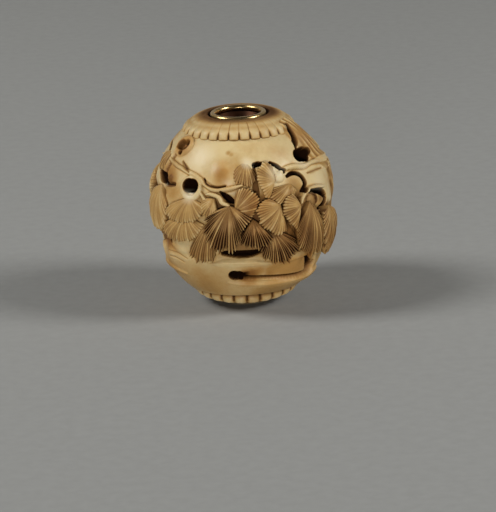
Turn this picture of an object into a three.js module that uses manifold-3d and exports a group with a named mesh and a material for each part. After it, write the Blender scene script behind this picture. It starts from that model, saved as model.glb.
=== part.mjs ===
import * as THREE from 'three';
import { mergeVertices } from 'three/addons/utils/BufferGeometryUtils.js';
import Module from 'manifold-3d';

// A carved ivory bead, a slide for a doubled cord, with a lined cord hole.
// Millimetres, +Z up along the cord hole, origin on the surface that the bead stands on.
// Heights inside the functions are measured from the bead's mid-plane. Turns are degrees
// about +Z, with zero at the front, which faces -Y, and the right-hand side at 90.

// Body
const bodyRadius = 8.6;
const poleHeight = 9.5;
const bodySquareness = 2.15;
const seatDrop = 0.78;
const groundRecess = 0.42;
const recessTopShare = 0.36;
const recessFootShare = -0.38;
const recessBlendShare = 0.14;
const slopeStepShare = 0.002;

// Cord hole, its liner and its two rim rings
const cordHoleRadius = 2.17;
const linerWall = 0.2;
const rimSectionRadius = 0.27;
const rimLandWidth = 0.2;
const fitClearance = 0.05;
const seatMargin = 0.12;

// Petal collars
const upperCollarRadius = 5.45;
const upperCollarLip = 0.42;
const upperCollarDrop = 1.16;
const upperCollarWall = 0.34;
const upperPetals = 32;
const upperPetalColumns = 2;
const lowerCollarRadius = 4.95;
const lowerCollarLip = 0.2;
const lowerCollarDrop = 0.42;
const lowerCollarWall = 0.55;
const lowerPetals = 24;
const lowerPetalColumns = 2;
const collarDomePower = 2.3;
const collarNeck = 0.4;
const collarSideDip = 0.3;
const lipRunShare = 0.3;
const petalGroove = 0.2;

// Carving
const tuftCrown = 0.45;
const tuftLayer = 0.6;
const tuftSink = 1.1;
const needleSpan = 1.25;
const needleRelief = 0.1;
const branchHalfWidth = 0.36;
const branchLift = 0.4;
const trunkHalfWidth = 1.6;
const trunkLift = 0.85;
const cloudHalfWidth = 1.5;
const cloudLift = 0.5;
const ledgeHalfWidth = 0.42;
const ledgeLift = 0.3;
const shoulderHalfWidth = 2.2;
const shoulderLift = 0.05;
const carvingSink = 0.9;
const recessHalfWidth = 0.6;
const recessTopDepth = 0.25;
const recessFootDepth = 0.85;
const slitHalfWidth = 0.22;
const slitDepth = 1.1;
const pitRadius = 0.68;
const pitDepth = 2.0;
const bossRadius = 0.7;
const bossLift = 0.5;
const cutOverrun = 0.9;
const smallestFeature = 0.0002;

// Facets
const bodyColumns = 40;
const rimColumns = 36;
const rimSectionSteps = 7;
const pitSides = 6;
const bossSides = 6;
const fewestNeedles = 4;

const degree = Math.PI / 180;
const seatHeight = poleHeight - seatDrop;
const rimCentreRadius = cordHoleRadius + rimSectionRadius;
const rimLandHeight = Math.sqrt(rimSectionRadius ** 2 - (rimLandWidth / 2) ** 2);
const rimCentreHeight = seatHeight + fitClearance + rimSectionRadius;
const midHeight = rimCentreHeight + rimLandHeight;
const boreRadius = cordHoleRadius + linerWall + fitClearance;
const seatRadius = rimCentreRadius + rimSectionRadius + seatMargin;

const wasm = await Module();
wasm.setup();

// The ground curve of the body: a slightly squared ellipse.
function groundRadius(height) {
  const share = Math.min(Math.abs(height) / poleHeight, 1);
  return bodyRadius * (1 - share ** bodySquareness) ** (1 / bodySquareness);
}

function smoothStep(value) {
  const held = Math.min(Math.max(value, 0), 1);
  return held * held * (3 - 2 * held);
}

// The ground is cut back behind the pine tufts, between two blended edges.
function recessAt(height) {
  const share = height / poleHeight;
  const fromTop = smoothStep((recessTopShare - share) / recessBlendShare);
  const fromFoot = smoothStep((share - recessFootShare) / recessBlendShare);
  return groundRecess * fromTop * fromFoot;
}

function slopeAt(height) {
  const step = poleHeight * slopeStepShare;
  return (groundRadius(height + step) - groundRadius(height - step)) / (2 * step);
}

// A point on the body, moved along the body's own outward direction by lift.
function surfacePoint(turn, height, lift) {
  const slope = slopeAt(height);
  const length = Math.hypot(1, slope);
  const outward = groundRadius(height) + lift / length;
  const raised = height - (lift * slope) / length;
  const angle = turn * degree;
  return new THREE.Vector3(outward * Math.sin(angle), -outward * Math.cos(angle), raised);
}

// A point reached from a place on the body by going right and up along its surface.
function placeNear(turn, height, right, up) {
  const newHeight = height + up / Math.hypot(1, slopeAt(height));
  return { turn: turn + right / groundRadius(newHeight) / degree, height: newHeight };
}

function geometryFrom(points, faces) {
  const geometry = new THREE.BufferGeometry();
  const numbers = points.flatMap((point) => point.toArray());
  geometry.setAttribute('position', new THREE.Float32BufferAttribute(numbers, 3));
  geometry.setIndex(faces.flat());
  return geometry;
}

function toSolid(geometry) {
  const bare = geometry.clone();
  bare.deleteAttribute('normal');
  bare.deleteAttribute('uv');
  const merged = mergeVertices(bare, smallestFeature);
  const vertProperties = new Float32Array(merged.attributes.position.array);
  const triVerts = new Uint32Array(merged.index.array);
  return new wasm.Manifold(new wasm.Mesh({ numProp: 3, vertProperties, triVerts }));
}

function toGeometry(solid) {
  const mesh = solid.getMesh();
  const geometry = new THREE.BufferGeometry();
  geometry.setAttribute('position', new THREE.BufferAttribute(mesh.vertProperties, 3));
  geometry.setIndex(new THREE.BufferAttribute(mesh.triVerts, 1));
  return geometry;
}

// A revolve about Z of an outline given as radius and height pairs.
function revolve(outline, columns) {
  const profile = outline.map(([radius, height]) => new THREE.Vector2(radius, height));
  return new THREE.LatheGeometry(profile, columns).rotateX(Math.PI / 2);
}

const upperCollar = {
  radius: upperCollarRadius,
  lip: upperCollarLip,
  drop: upperCollarDrop,
  wall: upperCollarWall,
  petals: upperPetals,
  petalColumns: upperPetalColumns,
  side: 1,
};
const lowerCollar = {
  radius: lowerCollarRadius,
  lip: lowerCollarLip,
  drop: lowerCollarDrop,
  wall: lowerCollarWall,
  petals: lowerPetals,
  petalColumns: lowerPetalColumns,
  side: -1,
};

function lipRadiusOf({ lip }) {
  return seatRadius + lip * lipRunShare;
}

// The outline of the body under a collar, from the seat of the rim ring out to the neck of the collar.
function underCollar(collar) {
  const footHeight = seatHeight + collar.lip - collar.drop - collar.wall;
  return [
    [boreRadius, collar.side * seatHeight],
    [lipRadiusOf(collar), collar.side * seatHeight],
    [collar.radius - collarNeck, collar.side * footHeight],
  ];
}

// The turned body before carving, with the seats of the rim rings and the bore.
function turnedBody() {
  const lowerShares = [-0.835, -0.74, -0.63, -0.5, -0.38, -0.26];
  const upperShares = [-0.06, 0.14, 0.25, 0.36, 0.5, 0.63, 0.73, 0.8];
  const ground = [...lowerShares, ...upperShares].map((share) => {
    const height = share * poleHeight;
    return [groundRadius(height) - recessAt(height), height];
  });
  const outline = [...underCollar(lowerCollar), ...ground, ...underCollar(upperCollar).reverse()];
  return toSolid(revolve([...outline, outline[0]], bodyColumns));
}

// A domed collar of rounded petals with a shallow well for the rim ring.
// Each row is a radius, a height, how far out along the dome it lies and how deep the petals are cut.
function petalCollar(collar) {
  const { radius, lip, drop, wall, petals, petalColumns, side } = collar;
  const lipHeight = seatHeight + lip;
  const edgeHeight = lipHeight - drop;
  const lipRadius = lipRadiusOf(collar);
  const edgeShare = 0.35;
  const domeShares = [0.82, 0.48];
  const domeCutShares = [0.7, 0];
  const dropShare = 0.6;
  const dome = domeShares.map((share, index) => [
    lipRadius + share * (radius - lipRadius),
    lipHeight - drop * share ** collarDomePower,
    share,
    domeCutShares[index],
  ]);
  const rows = [
    [seatRadius, edgeHeight - wall, 0, 0],
    [radius - collarNeck, edgeHeight - wall, 1, 0],
    [radius, edgeHeight - wall * edgeShare, 1, 1],
    [radius, edgeHeight, 1, 1],
    ...dome,
    [lipRadius, lipHeight, 0, 0],
    [seatRadius, lipHeight - lip * lipRunShare, 0, 0],
  ];
  const columns = petals * petalColumns;
  const points = [];
  const faces = [];
  for (let column = 0; column < columns; column += 1) {
    const angle = (column / columns) * 2 * Math.PI;
    const groove = column % petalColumns === 0 ? petalGroove : 0;
    for (const [rowRadius, rowHeight, outShare, cutShare] of rows) {
      const cut = groove * cutShare;
      const dip = collarSideDip * outShare * Math.sin(angle) ** 2;
      const reach = rowRadius - cut;
      const height = rowHeight - cut * dropShare - dip;
      points.push(new THREE.Vector3(reach * Math.sin(angle), -reach * Math.cos(angle), side * height));
    }
  }
  for (let column = 0; column < columns; column += 1) {
    for (let row = 0; row < rows.length; row += 1) {
      const a = column * rows.length + row;
      const b = column * rows.length + ((row + 1) % rows.length);
      const c = ((column + 1) % columns) * rows.length + row;
      const d = ((column + 1) % columns) * rows.length + ((row + 1) % rows.length);
      faces.push(...(side > 0 ? [[a, c, b], [b, c, d]] : [[a, b, c], [b, d, c]]));
    }
  }
  return toSolid(geometryFrom(points, faces));
}

// A place on the body laid flat, so that tufts can be drawn between their hub and their rim.
function flatPlace([turn, share]) {
  return new THREE.Vector3(turn * degree * bodyRadius, share * poleHeight, 0);
}

function isClockwise(hub, edge) {
  let area = 0;
  for (let ray = 0; ray + 1 < edge.length; ray += 1) {
    const here = edge[ray].clone().sub(hub);
    const next = edge[ray + 1].clone().sub(hub);
    area += here.x * next.y - here.y * next.x;
  }
  return area < 0;
}

// A pine tuft: a domed fan of needle ridges from a hub to an undercut rim, rooted in the body.
function tuft([hubPlace, rimPlaces, layerShare]) {
  const ringShares = [0.6, 1];
  const ringLiftShares = [1, 0.62];
  const hubLiftShare = 0.5;
  const skirtShare = 0.93;
  const rootShare = 0.4;
  const tipShare = 0.05;
  const endDropShare = 0.5;
  const endPower = 6;
  const hub = flatPlace(hubPlace);
  const rim = new THREE.CatmullRomCurve3(rimPlaces.map(flatPlace));
  const rays = 2 * Math.max(fewestNeedles, Math.round(rim.getLength() / needleSpan));
  const edge = rim.getSpacedPoints(rays);
  if (isClockwise(hub, edge)) {
    edge.reverse();
  }
  const layer = layerShare * tuftLayer;
  const at = (share, ray, lift) => {
    const place = hub.clone().lerp(edge[ray], share);
    return surfacePoint(place.x / (degree * bodyRadius), place.y, lift);
  };
  const points = [at(0, 0, layer + tuftCrown * hubLiftShare)];
  const rings = ringShares.map((share, ring) => edge.map((_, ray) => {
    const between = ray % 2 === 0 ? 1 : 0;
    const aside = Math.abs((2 * ray) / rays - 1);
    const crown = tuftCrown * ringLiftShares[ring] * (1 - endDropShare * aside ** endPower);
    return points.push(at(share * (1 - between * tipShare), ray, layer + crown - between * needleRelief)) - 1;
  }));
  rings.push(edge.map((_, ray) => points.push(at(skirtShare, ray, -groundRecess - needleRelief)) - 1));
  const root = points.push(at(rootShare, rays / 2, -tuftSink)) - 1;
  const skirt = rings[rings.length - 1];
  const faces = [];
  for (let ray = 0; ray < rays; ray += 1) {
    faces.push([0, rings[0][ray], rings[0][ray + 1]]);
    for (let ring = 0; ring + 1 < rings.length; ring += 1) {
      const inner = rings[ring];
      const outer = rings[ring + 1];
      faces.push([inner[ray], outer[ray], outer[ray + 1]], [inner[ray], outer[ray + 1], inner[ray + 1]]);
    }
    faces.push([skirt[ray], root, skirt[ray + 1]]);
  }
  const firstEdge = [0, ...rings.map((ring) => ring[0])];
  const lastEdge = [0, ...rings.map((ring) => ring[rays])];
  for (let step = 0; step + 1 < firstEdge.length; step += 1) {
    faces.push([firstEdge[step], root, firstEdge[step + 1]]);
    faces.push([lastEdge[step], lastEdge[step + 1], root]);
  }
  return toSolid(geometryFrom(points, faces));
}

// A ridge or a cutter swept along the body through places given as turn, height share and width share.
function sweepOnBody(route, section) {
  const steps = route.length;
  const places = route.map(([turn, share, width]) => new THREE.Vector3(turn, share * bodyRadius, width));
  const curve = new THREE.CatmullRomCurve3(places);
  const points = [];
  const faces = [];
  for (let step = 0; step <= steps; step += 1) {
    const here = curve.getPoint(step / steps);
    const along = curve.getTangent(step / steps);
    const height = (here.y / bodyRadius) * poleHeight;
    const right = along.x * degree * groundRadius(height);
    const up = (along.y / bodyRadius) * poleHeight;
    const across = new THREE.Vector2(right, up).normalize();
    for (const [sideways, lift] of section(here.z)) {
      const place = placeNear(here.x, height, sideways * across.y, -sideways * across.x);
      points.push(surfacePoint(place.turn, place.height, lift));
    }
  }
  const sides = section(1).length;
  for (let step = 0; step < steps; step += 1) {
    for (let side = 0; side < sides; side += 1) {
      const a = step * sides + side;
      const b = step * sides + ((side + 1) % sides);
      faces.push([a, b, a + sides], [b, b + sides, a + sides]);
    }
  }
  const last = steps * sides;
  for (let side = 1; side + 1 < sides; side += 1) {
    faces.push([0, side + 1, side], [last, last + side, last + side + 1]);
  }
  return toSolid(geometryFrom(points, faces));
}

function ridgeSection(halfWidth, lift, sink) {
  const outlineShares = [[-1, 0.1], [-0.6, 0.85], [0.6, 0.85], [1, 0.1]];
  return (width) => [
    [-halfWidth * width, -sink],
    ...outlineShares.map(([acrossShare, upShare]) => [
      acrossShare * halfWidth * width,
      upShare * lift * Math.min(1, width),
    ]),
    [halfWidth * width, -sink],
  ];
}

function cutSection(halfWidth, upperDepth, lowerDepth) {
  return (width) => [
    [-halfWidth * width, -upperDepth],
    [-halfWidth * width, cutOverrun],
    [halfWidth * width, cutOverrun],
    [halfWidth * width, -lowerDepth],
  ];
}

// A drilled pit, a little narrower at its floor.
function pit([turn, heightShare, radiusShare, depthShare]) {
  const radius = pitRadius * radiusShare;
  const depth = pitDepth * depthShare;
  const floorShare = 0.8;
  const drill = new THREE.CylinderGeometry(radius, radius * floorShare, depth + cutOverrun, pitSides);
  const mouth = surfacePoint(turn, heightShare * poleHeight, cutOverrun);
  const floor = surfacePoint(turn, heightShare * poleHeight, -depth);
  const axis = mouth.clone().sub(floor).normalize();
  drill.applyQuaternion(new THREE.Quaternion().setFromUnitVectors(new THREE.Vector3(0, 1, 0), axis));
  const centre = mouth.clone().add(floor).multiplyScalar(1 / 2);
  return toSolid(drill.translate(centre.x, centre.y, centre.z));
}

// A rounded boss left standing on the ground or in a pit.
function boss([turn, heightShare, radiusShare, liftShare]) {
  const radius = bossRadius * radiusShare;
  const centre = surfacePoint(turn, heightShare * poleHeight, bossLift * liftShare - radius);
  const ball = new THREE.SphereGeometry(radius, bossSides, bossSides / 2);
  return toSolid(ball.translate(centre.x, centre.y, centre.z));
}

// Pine tufts: the hub, the rim from one end round to the other, and the layer share.
// Places are a turn and a share of the pole height.
const tuftShares = [
  [[-19, 0.07], [
    [-31, -0.08], [-35, -0.2], [-35, -0.29], [-31, -0.33], [-26, -0.35], [-20, -0.33], [-15, -0.27],
  ], 0.1],
  [[-36, 0.22], [
    [-55, 0.06], [-56, -0.06], [-54, -0.14], [-47, -0.17], [-40, -0.16], [-33, -0.11], [-28, 0],
  ], 0.2],
  [[12, 0.16], [[-3, -0.11], [-2, -0.19], [2, -0.23], [7, -0.25], [12, -0.28], [17, -0.26]], 0],
  [[20, 0.06], [
    [7, -0.12], [10, -0.25], [13, -0.32], [18, -0.35], [23, -0.38], [28, -0.39], [33, -0.37], [36, -0.28],
  ], 0.1],
  [[-65, 0.34], [
    [-80, 0.24], [-82, 0.08], [-79, -0.06], [-72, -0.14], [-65, -0.15], [-57, -0.08], [-54, 0.05],
    [-55, 0.18],
  ], 0.45],
  [[-71, 0.67], [[-88, 0.64], [-91, 0.54], [-88, 0.45], [-76, 0.46], [-67, 0.52]], 0.3],
  [[-34, 0.33], [
    [-52, 0.26], [-54, 0.14], [-49, 0.05], [-41, 0.04], [-33, 0.05], [-26, 0.1], [-22, 0.18], [-22, 0.27],
  ], 0.55],
  [[42, 0.14], [
    [29, 0.02], [29, -0.1], [31, -0.24], [35, -0.33], [41, -0.39], [47, -0.41], [53, -0.38], [56, -0.26],
    [55, -0.08], [52, 0.06],
  ], 0.4],
  [[-8, 0.22], [[-4, 0.38], [2, 0.41], [7, 0.37], [9, 0.3], [9, 0.2], [7, 0.1]], 0.4],
  [[4, 0.61], [[-6, 0.56], [-8, 0.46], [-6, 0.39], [0, 0.37], [6, 0.38], [11, 0.44], [12, 0.54]], 0.35],
  [[-7, 0.22], [
    [-20, 0.2], [-25, 0.09], [-26, -0.04], [-22, -0.17], [-16, -0.23], [-10, -0.23], [-4, -0.2],
    [0, -0.12], [4, -0.02], [7, 0.09],
  ], 0.7],
  [[24, 0.24], [
    [12, 0.32], [9, 0.27], [8, 0.19], [8.5, 0.08], [11, 0], [15, -0.06], [20, -0.1], [25, -0.1],
    [29, -0.06],
  ], 0.6],
  [[43, 0.15], [
    [33, 0.27], [28, 0.26], [25.5, 0.2], [24.5, 0.12], [26, 0.05], [29, -0.01], [33, -0.06], [39, -0.08],
  ], 0.85],
  [[26, 0.47], [
    [22, 0.6], [16, 0.58], [12, 0.52], [10, 0.44], [11, 0.36], [14, 0.3], [18, 0.25], [23, 0.24],
    [28, 0.26], [32, 0.32],
  ], 1],
  [[68, 0.04], [
    [59, 0], [57, -0.14], [59, -0.3], [64, -0.42], [72, -0.5], [80, -0.44], [86, -0.26], [86, -0.1],
  ], 0.6],
  [[132, 0.1], [
    [112, 0.02], [108, -0.16], [114, -0.32], [126, -0.39], [138, -0.39], [150, -0.32], [154, -0.16],
  ], 0.2],
  [[192, 0.1], [
    [172, 0.02], [168, -0.16], [174, -0.32], [186, -0.4], [199, -0.4], [211, -0.31], [213, -0.14],
  ], 0.2],
  [[236, 0.06], [
    [220, -0.02], [217, -0.18], [224, -0.32], [235, -0.38], [247, -0.34], [254, -0.2], [252, -0.05],
  ], 0.3],
  [[109, 0.34], [
    [98, 0.26], [96, 0.12], [101, 0], [110, -0.05], [119, -0.02], [125, 0.1], [124, 0.24],
  ], 0.4],
  [[160, 0.28], [
    [143, 0.2], [140, 0.02], [147, -0.12], [158, -0.17], [169, -0.13], [177, 0.01], [177, 0.17],
  ], 0.6],
  [[222, 0.36], [
    [206, 0.28], [203, 0.12], [210, -0.04], [221, -0.09], [232, -0.05], [240, 0.09], [239, 0.26],
  ], 0.6],
  [[264, 0.1], [[252, 0], [250, -0.16], [257, -0.3], [267, -0.34], [277, -0.28], [280, -0.12]], 0.2],
  [[128, 0.46], [
    [114, 0.42], [111, 0.28], [117, 0.16], [128, 0.11], [139, 0.14], [146, 0.26], [144, 0.4],
  ], 0.9],
  [[188, 0.48], [
    [173, 0.45], [170, 0.31], [176, 0.19], [187, 0.14], [199, 0.17], [205, 0.3], [202, 0.44],
  ], 0.9],
  [[251, 0.42], [
    [237, 0.38], [234, 0.24], [240, 0.1], [251, 0.05], [261, 0.09], [267, 0.22], [265, 0.36],
  ], 0.8],
];

// Branches: turn, height share and width share along each.
const branchShares = [
  [[-72, 0.78, 0.6], [-70.5, 0.68, 0.8], [-67, 0.59, 0.8], [-72, 0.5, 0.5]],
  [
    [-69, 0.65, 0.6], [-61, 0.585, 0.9], [-52, 0.54, 1], [-44, 0.51, 1], [-35, 0.5, 0.9], [-29, 0.455, 1],
    [-23.5, 0.395, 1], [-17, 0.375, 0.9], [-10, 0.395, 0.8], [-3, 0.42, 0.5],
  ],
  [[-24, 0.35, 0.6], [-19, 0.345, 0.9], [-14.5, 0.31, 0.9], [-10, 0.25, 0.9], [-5, 0.23, 0.6]],
  [
    [24, 0.46, 0.4], [32, 0.52, 0.8], [41, 0.525, 1.1], [50, 0.5, 1], [60, 0.505, 0.8], [72, 0.5, 1.2],
    [84, 0.47, 1.3], [96, 0.46, 0.8],
  ],
  [[53, 0.42, 0.4], [60, 0.405, 0.8], [70, 0.4, 0.7], [84, 0.36, 0.9], [100, 0.42, 0.8], [106, 0.43, 0.5]],
  [[43, 0.15, 0.7], [45, 0.235, 0.8], [51, 0.285, 0.8], [60, 0.3, 0.7], [70, 0.28, 0.4]],
  [[96, 0.3, 0.6], [112, 0.42, 1], [128, 0.48, 1], [144, 0.44, 0.9], [158, 0.33, 0.6]],
  [[104, 0.5, 0.6], [126, 0.62, 1.1], [182, 0.55, 1], [222, 0.48, 1], [246, 0.44, 0.8], [268, 0.56, 0.5]],
];

const trunkShares = [
  [77, 0.87, 0.7], [75, 0.8, 0.95], [74, 0.68, 0.95], [80, 0.54, 0.7], [96, 0.36, 0.6], [106, 0.1, 0.7],
  [112, -0.12, 0.7], [108, -0.34, 0.75], [100, -0.46, 0.8],
];

// The swell of the cloud band, and the ledge and the tongue under the tufts.
const cloudShares = [
  [
    [-112, -0.5, 0.3], [-98, -0.52, 0.6], [-84, -0.56, 1], [-66, -0.58, 1.05], [-50, -0.6, 0.8],
    [-36, -0.62, 0.3],
  ],
];

const ledgeShares = [
  [
    [-12, -0.58, 0.4], [-2, -0.6, 0.8], [16, -0.62, 0.9], [37, -0.645, 1], [56, -0.665, 1.2],
    [70, -0.675, 1.5], [82, -0.66, 1],
  ],
  [
    [-24, -0.39, 0.3], [-14, -0.385, 1], [-5, -0.38, 0.95], [6, -0.385, 0.8], [17, -0.4, 0.5],
    [26, -0.42, 0.2],
  ],
];

const cloudTurns = [0, 180];

// The smooth shoulder under the trunk, where the ground isn't cut back.
const shoulderShares = [[57, 0.25, 0.9], [66, 0.26, 1], [78, 0.25, 1], [88, 0.24, 0.9]];

// Recesses cut in from one side under the tufts, deeper along their foot.
const recessShares = [
  [
    [-11, -0.495, 0.5], [-4, -0.495, 0.7], [4, -0.5, 0.8], [17, -0.505, 0.95], [28, -0.5, 1.4],
    [38, -0.5, 1.7], [50, -0.51, 1.7],
  ],
  [[170, -0.49, 0.6], [186, -0.49, 0.9], [204, -0.48, 1.3], [220, -0.47, 1.6]],
];

// Slits: turn, height share and width share along each.
const slitShares = [
  [[-50, 0.61, 1.2], [-45, 0.575, 0.9], [-39, 0.525, 0.4]],
  [[-27, 0.5, 0.6], [-22, 0.445, 0.8], [-16.5, 0.415, 0.8], [-10, 0.425, 0.5]],
  [[-13, 0.34, 1], [-10, 0.31, 1.6], [-7, 0.275, 1]],
  [[10.5, 0.6, 1.1], [13.5, 0.605, 1.1], [17.5, 0.605, 0.5]],
  [[23, 0.6, 0.7], [28, 0.56, 0.9], [32, 0.5, 0.6]],
  [
    [33, 0.455, 0.6], [37, 0.47, 0.9], [41.5, 0.455, 1], [44.5, 0.41, 1.2], [46, 0.35, 1.5],
    [44.5, 0.29, 1.4],
  ],
  [[60, 0.45, 0.35], [70, 0.445, 0.4], [80, 0.42, 0.3]],
  [[48, 0.235, 0.7], [55, 0.25, 1.3], [63, 0.235, 1.9], [68, 0.18, 2.3], [67, 0.1, 2.3], [64, 0.03, 1.4]],
  [[-15, -0.285, 1], [-3, -0.285, 1.5], [11, -0.285, 0.7]],
  [[57, 0.82, 1], [58, 0.75, 0.8], [56.5, 0.66, 1], [55, 0.58, 1]],
  [[-92, 0.7, 0.5], [-80, 0.66, 0.9], [-73, 0.57, 0.9]],
  [[172, -0.505, 2], [200, -0.54, 2.2], [226, -0.55, 2]],
];

// Drilled pits: turn, height share, radius share and depth share.
const pitShares = [
  [-36, 0.41, 1, 1],
  [-65.5, 0.41, 0.8, 0.8],
  [-60, 0.405, 0.75, 0.7],
  [-54, 0.42, 0.85, 0.6],
  [-55, 0.73, 0.85, 0.12],
  [-55.5, 0.66, 0.35, 0.12],
  [50, 0.61, 0.95, 0.9],
  [54, 0.575, 0.85, 0.9],
  [51, 0.17, 0.9, 0.22],
  [-54, -0.19, 0.6, 0.5],
  [53, -0.47, 0.6, 0.8],
  [55, -0.53, 0.75, 0.8],
  [54.5, -0.58, 0.6, 0.8],
  [112, 0.28, 0.9, 0.9],
  [172, 0.3, 0.9, 0.9],
  [236, 0.47, 0.8, 0.9],
];

// Bosses: turn, height share, radius share and lift share.
const bossShares = [
  [30.5, 0.43, 1, 1],
  [-54, 0.455, 0.85, -1.2],
  [55, 0.13, 1.1, -0.5],
];

function turnedRoute(route, turn) {
  return route.map(([place, share, width]) => [place + turn, share, width]);
}

function carvedBody() {
  const cloudSection = ridgeSection(cloudHalfWidth, cloudLift, carvingSink);
  const ledgeSection = ridgeSection(ledgeHalfWidth, ledgeLift, carvingSink);
  const branchSection = ridgeSection(branchHalfWidth, branchLift, carvingSink);
  const recessSection = cutSection(recessHalfWidth, recessTopDepth, recessFootDepth);
  const slitSection = cutSection(slitHalfWidth, slitDepth, slitDepth);
  const raised = [
    petalCollar(upperCollar),
    petalCollar(lowerCollar),
    sweepOnBody(shoulderShares, ridgeSection(shoulderHalfWidth, shoulderLift, carvingSink)),
    ...cloudTurns.flatMap((turn) => [
      ...cloudShares.map((route) => sweepOnBody(turnedRoute(route, turn), cloudSection)),
      ...ledgeShares.map((route) => sweepOnBody(turnedRoute(route, turn), ledgeSection)),
    ]),
    sweepOnBody(trunkShares, ridgeSection(trunkHalfWidth, trunkLift, carvingSink)),
    ...branchShares.map((route) => sweepOnBody(route, branchSection)),
  ];
  const cut = [
    ...recessShares.map((route) => sweepOnBody(route, recessSection)),
    ...slitShares.map((route) => sweepOnBody(route, slitSection)),
    ...pitShares.map(pit),
  ];
  const standing = [...bossShares.map(boss), ...tuftShares.map(tuft)];
  let body = turnedBody();
  raised.forEach((solid) => {
    body = body.add(solid);
  });
  cut.forEach((solid) => {
    body = body.subtract(solid);
  });
  standing.forEach((solid) => {
    body = body.add(solid);
  });
  return toGeometry(body);
}

// A thin tube that closes the cord hole off from the pierced carving.
function boreLiner() {
  const outer = cordHoleRadius + linerWall;
  const outline = [
    [cordHoleRadius, -seatHeight],
    [outer, -seatHeight],
    [outer, seatHeight],
    [cordHoleRadius, seatHeight],
    [cordHoleRadius, -seatHeight],
  ];
  return revolve(outline, rimColumns);
}

// A round-section ring with a narrow flat land on its outer side.
function rimRing() {
  const landAngle = Math.asin(rimLandWidth / 2 / rimSectionRadius);
  const outline = [];
  for (let step = 0; step <= rimSectionSteps; step += 1) {
    const angle = Math.PI / 2 - landAngle - (step / rimSectionSteps) * 2 * (Math.PI - landAngle);
    outline.push([rimCentreRadius + rimSectionRadius * Math.cos(angle), rimSectionRadius * Math.sin(angle)]);
  }
  outline.push(outline[0]);
  outline.reverse();
  return revolve(outline, rimColumns);
}

function namedMesh(name, geometry, look) {
  const mesh = new THREE.Mesh(geometry, new THREE.MeshStandardMaterial(look));
  mesh.name = name;
  return mesh;
}

const ivoryLook = { color: 0xc4a974, roughness: 0.42, metalness: 0 };
const giltLook = { color: 0xc79a45, roughness: 0.22, metalness: 1 };
const linerLook = { color: 0x5a3320, roughness: 0.5, metalness: 1 };

const group = new THREE.Group();
group.position.z = midHeight;

const body = namedMesh('carved_body', carvedBody(), ivoryLook);
const liner = namedMesh('bore_liner', boreLiner(), linerLook);
const upperRing = namedMesh('upper_rim_ring', rimRing(), giltLook);
upperRing.position.z = rimCentreHeight;
const lowerRing = namedMesh('lower_rim_ring', rimRing(), giltLook);
lowerRing.position.z = -rimCentreHeight;
lowerRing.rotation.x = Math.PI;
group.add(body, liner, upperRing, lowerRing);

export default group;
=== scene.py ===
import math

import bpy
import numpy as np
from mathutils import Matrix, Vector


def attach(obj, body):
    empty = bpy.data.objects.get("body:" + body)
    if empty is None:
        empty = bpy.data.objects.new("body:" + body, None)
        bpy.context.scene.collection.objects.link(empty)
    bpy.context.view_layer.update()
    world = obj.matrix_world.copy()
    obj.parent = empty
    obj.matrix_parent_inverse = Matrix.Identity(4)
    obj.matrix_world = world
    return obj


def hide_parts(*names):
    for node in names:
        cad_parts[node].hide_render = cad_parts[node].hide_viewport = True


# A carved ivory bead that stands on its lower rim ring.
# Lengths are metres, and heights inside the carving are measured from the bead's mid-plane.
# Turns are degrees about +Z, with zero at the front, which faces -Y, and the right-hand side at 90.

MM = 0.001
DEGREE = math.pi / 180

# Body
BODY_RADIUS = 8.6 * MM
POLE_HEIGHT = 9.5 * MM
BODY_SQUARENESS = 2.15
NEAR_POLE_SHARE = 0.9999
SEAT_DROP = 0.78 * MM
GROUND_RECESS = 0.42 * MM
RECESS_TOP_SHARE = 0.36
RECESS_FOOT_SHARE = -0.38
RECESS_BLEND_SHARE = 0.14
GROUND_TOP_SHARE = 0.88
GROUND_FOOT_SHARE = -0.8
LOW_TOP_SHARE = -0.3
LOW_BLEND_SHARE = 0.25

# Cord hole and its metal
CORD_HOLE_RADIUS = 2.17 * MM
LINER_WALL = 0.2 * MM
RIM_SECTION_RADIUS = 0.27 * MM
RIM_LAND_WIDTH = 0.2 * MM
FIT_CLEARANCE = 0.05 * MM

# Petal collars
UPPER_COLLAR_RADIUS = 5.45 * MM
UPPER_COLLAR_LIP = 0.42 * MM
UPPER_COLLAR_DROP = 1.16 * MM
UPPER_PETALS = 32
LOWER_COLLAR_RADIUS = 5 * MM
LOWER_COLLAR_LIP = 0.12 * MM
LOWER_COLLAR_DROP = 0.5 * MM
LOWER_PETALS = 24
COLLAR_DOME_POWER = 3.2
COLLAR_DOME_START = 0.05
COLLAR_LIP_SLANT = 0.3
UPPER_COLLAR_WALL = 0.34 * MM
LOWER_COLLAR_WALL = 0.9 * MM
COLLAR_NECK = 0.4 * MM
FOOT_RETURN = 1.2 * MM
COLLAR_SIDE_DIP = 0.3 * MM
PETAL_GROOVE = 0.26 * MM
PETAL_BULGE = 0.09 * MM
SEAT_MARGIN = 0.12 * MM

# Carving
BUMP_POWER = 2.2
TUFT_CROWN = 0.42 * MM
TUFT_LAYER = 0.52 * MM
TUFT_EDGE = 0.42 * MM
NEEDLE_PITCH = 0.31 * MM
NEEDLE_RELIEF = 0.075 * MM
FEWEST_NEEDLES = 5
BRANCH_HALF_WIDTH = 0.26 * MM
BRANCH_LIFT = 0.36 * MM
TRUNK_HALF_WIDTH = 1.6 * MM
TRUNK_LIFT = 0.85 * MM
BARK_PITCH = 0.075 * MM
BARK_KNOT_LENGTH = 0.8 * MM
BARK_RELIEF = 0.05 * MM
BARK_WAVE = 2
BARK_TWIST = 0.7
CLOUD_HALF_WIDTH = 1.5 * MM
CLOUD_LIFT = 0.5 * MM
CLOUD_EDGE = 1.15
CLOUD_FULL_WIDTH = 0.8
LEDGE_HALF_WIDTH = 0.42 * MM
LEDGE_LIFT = 0.3 * MM
LEDGE_EDGE = 1.1
LEDGE_STEEPNESS = 1.6
HUMP_RADIUS = 1.7 * MM
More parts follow.
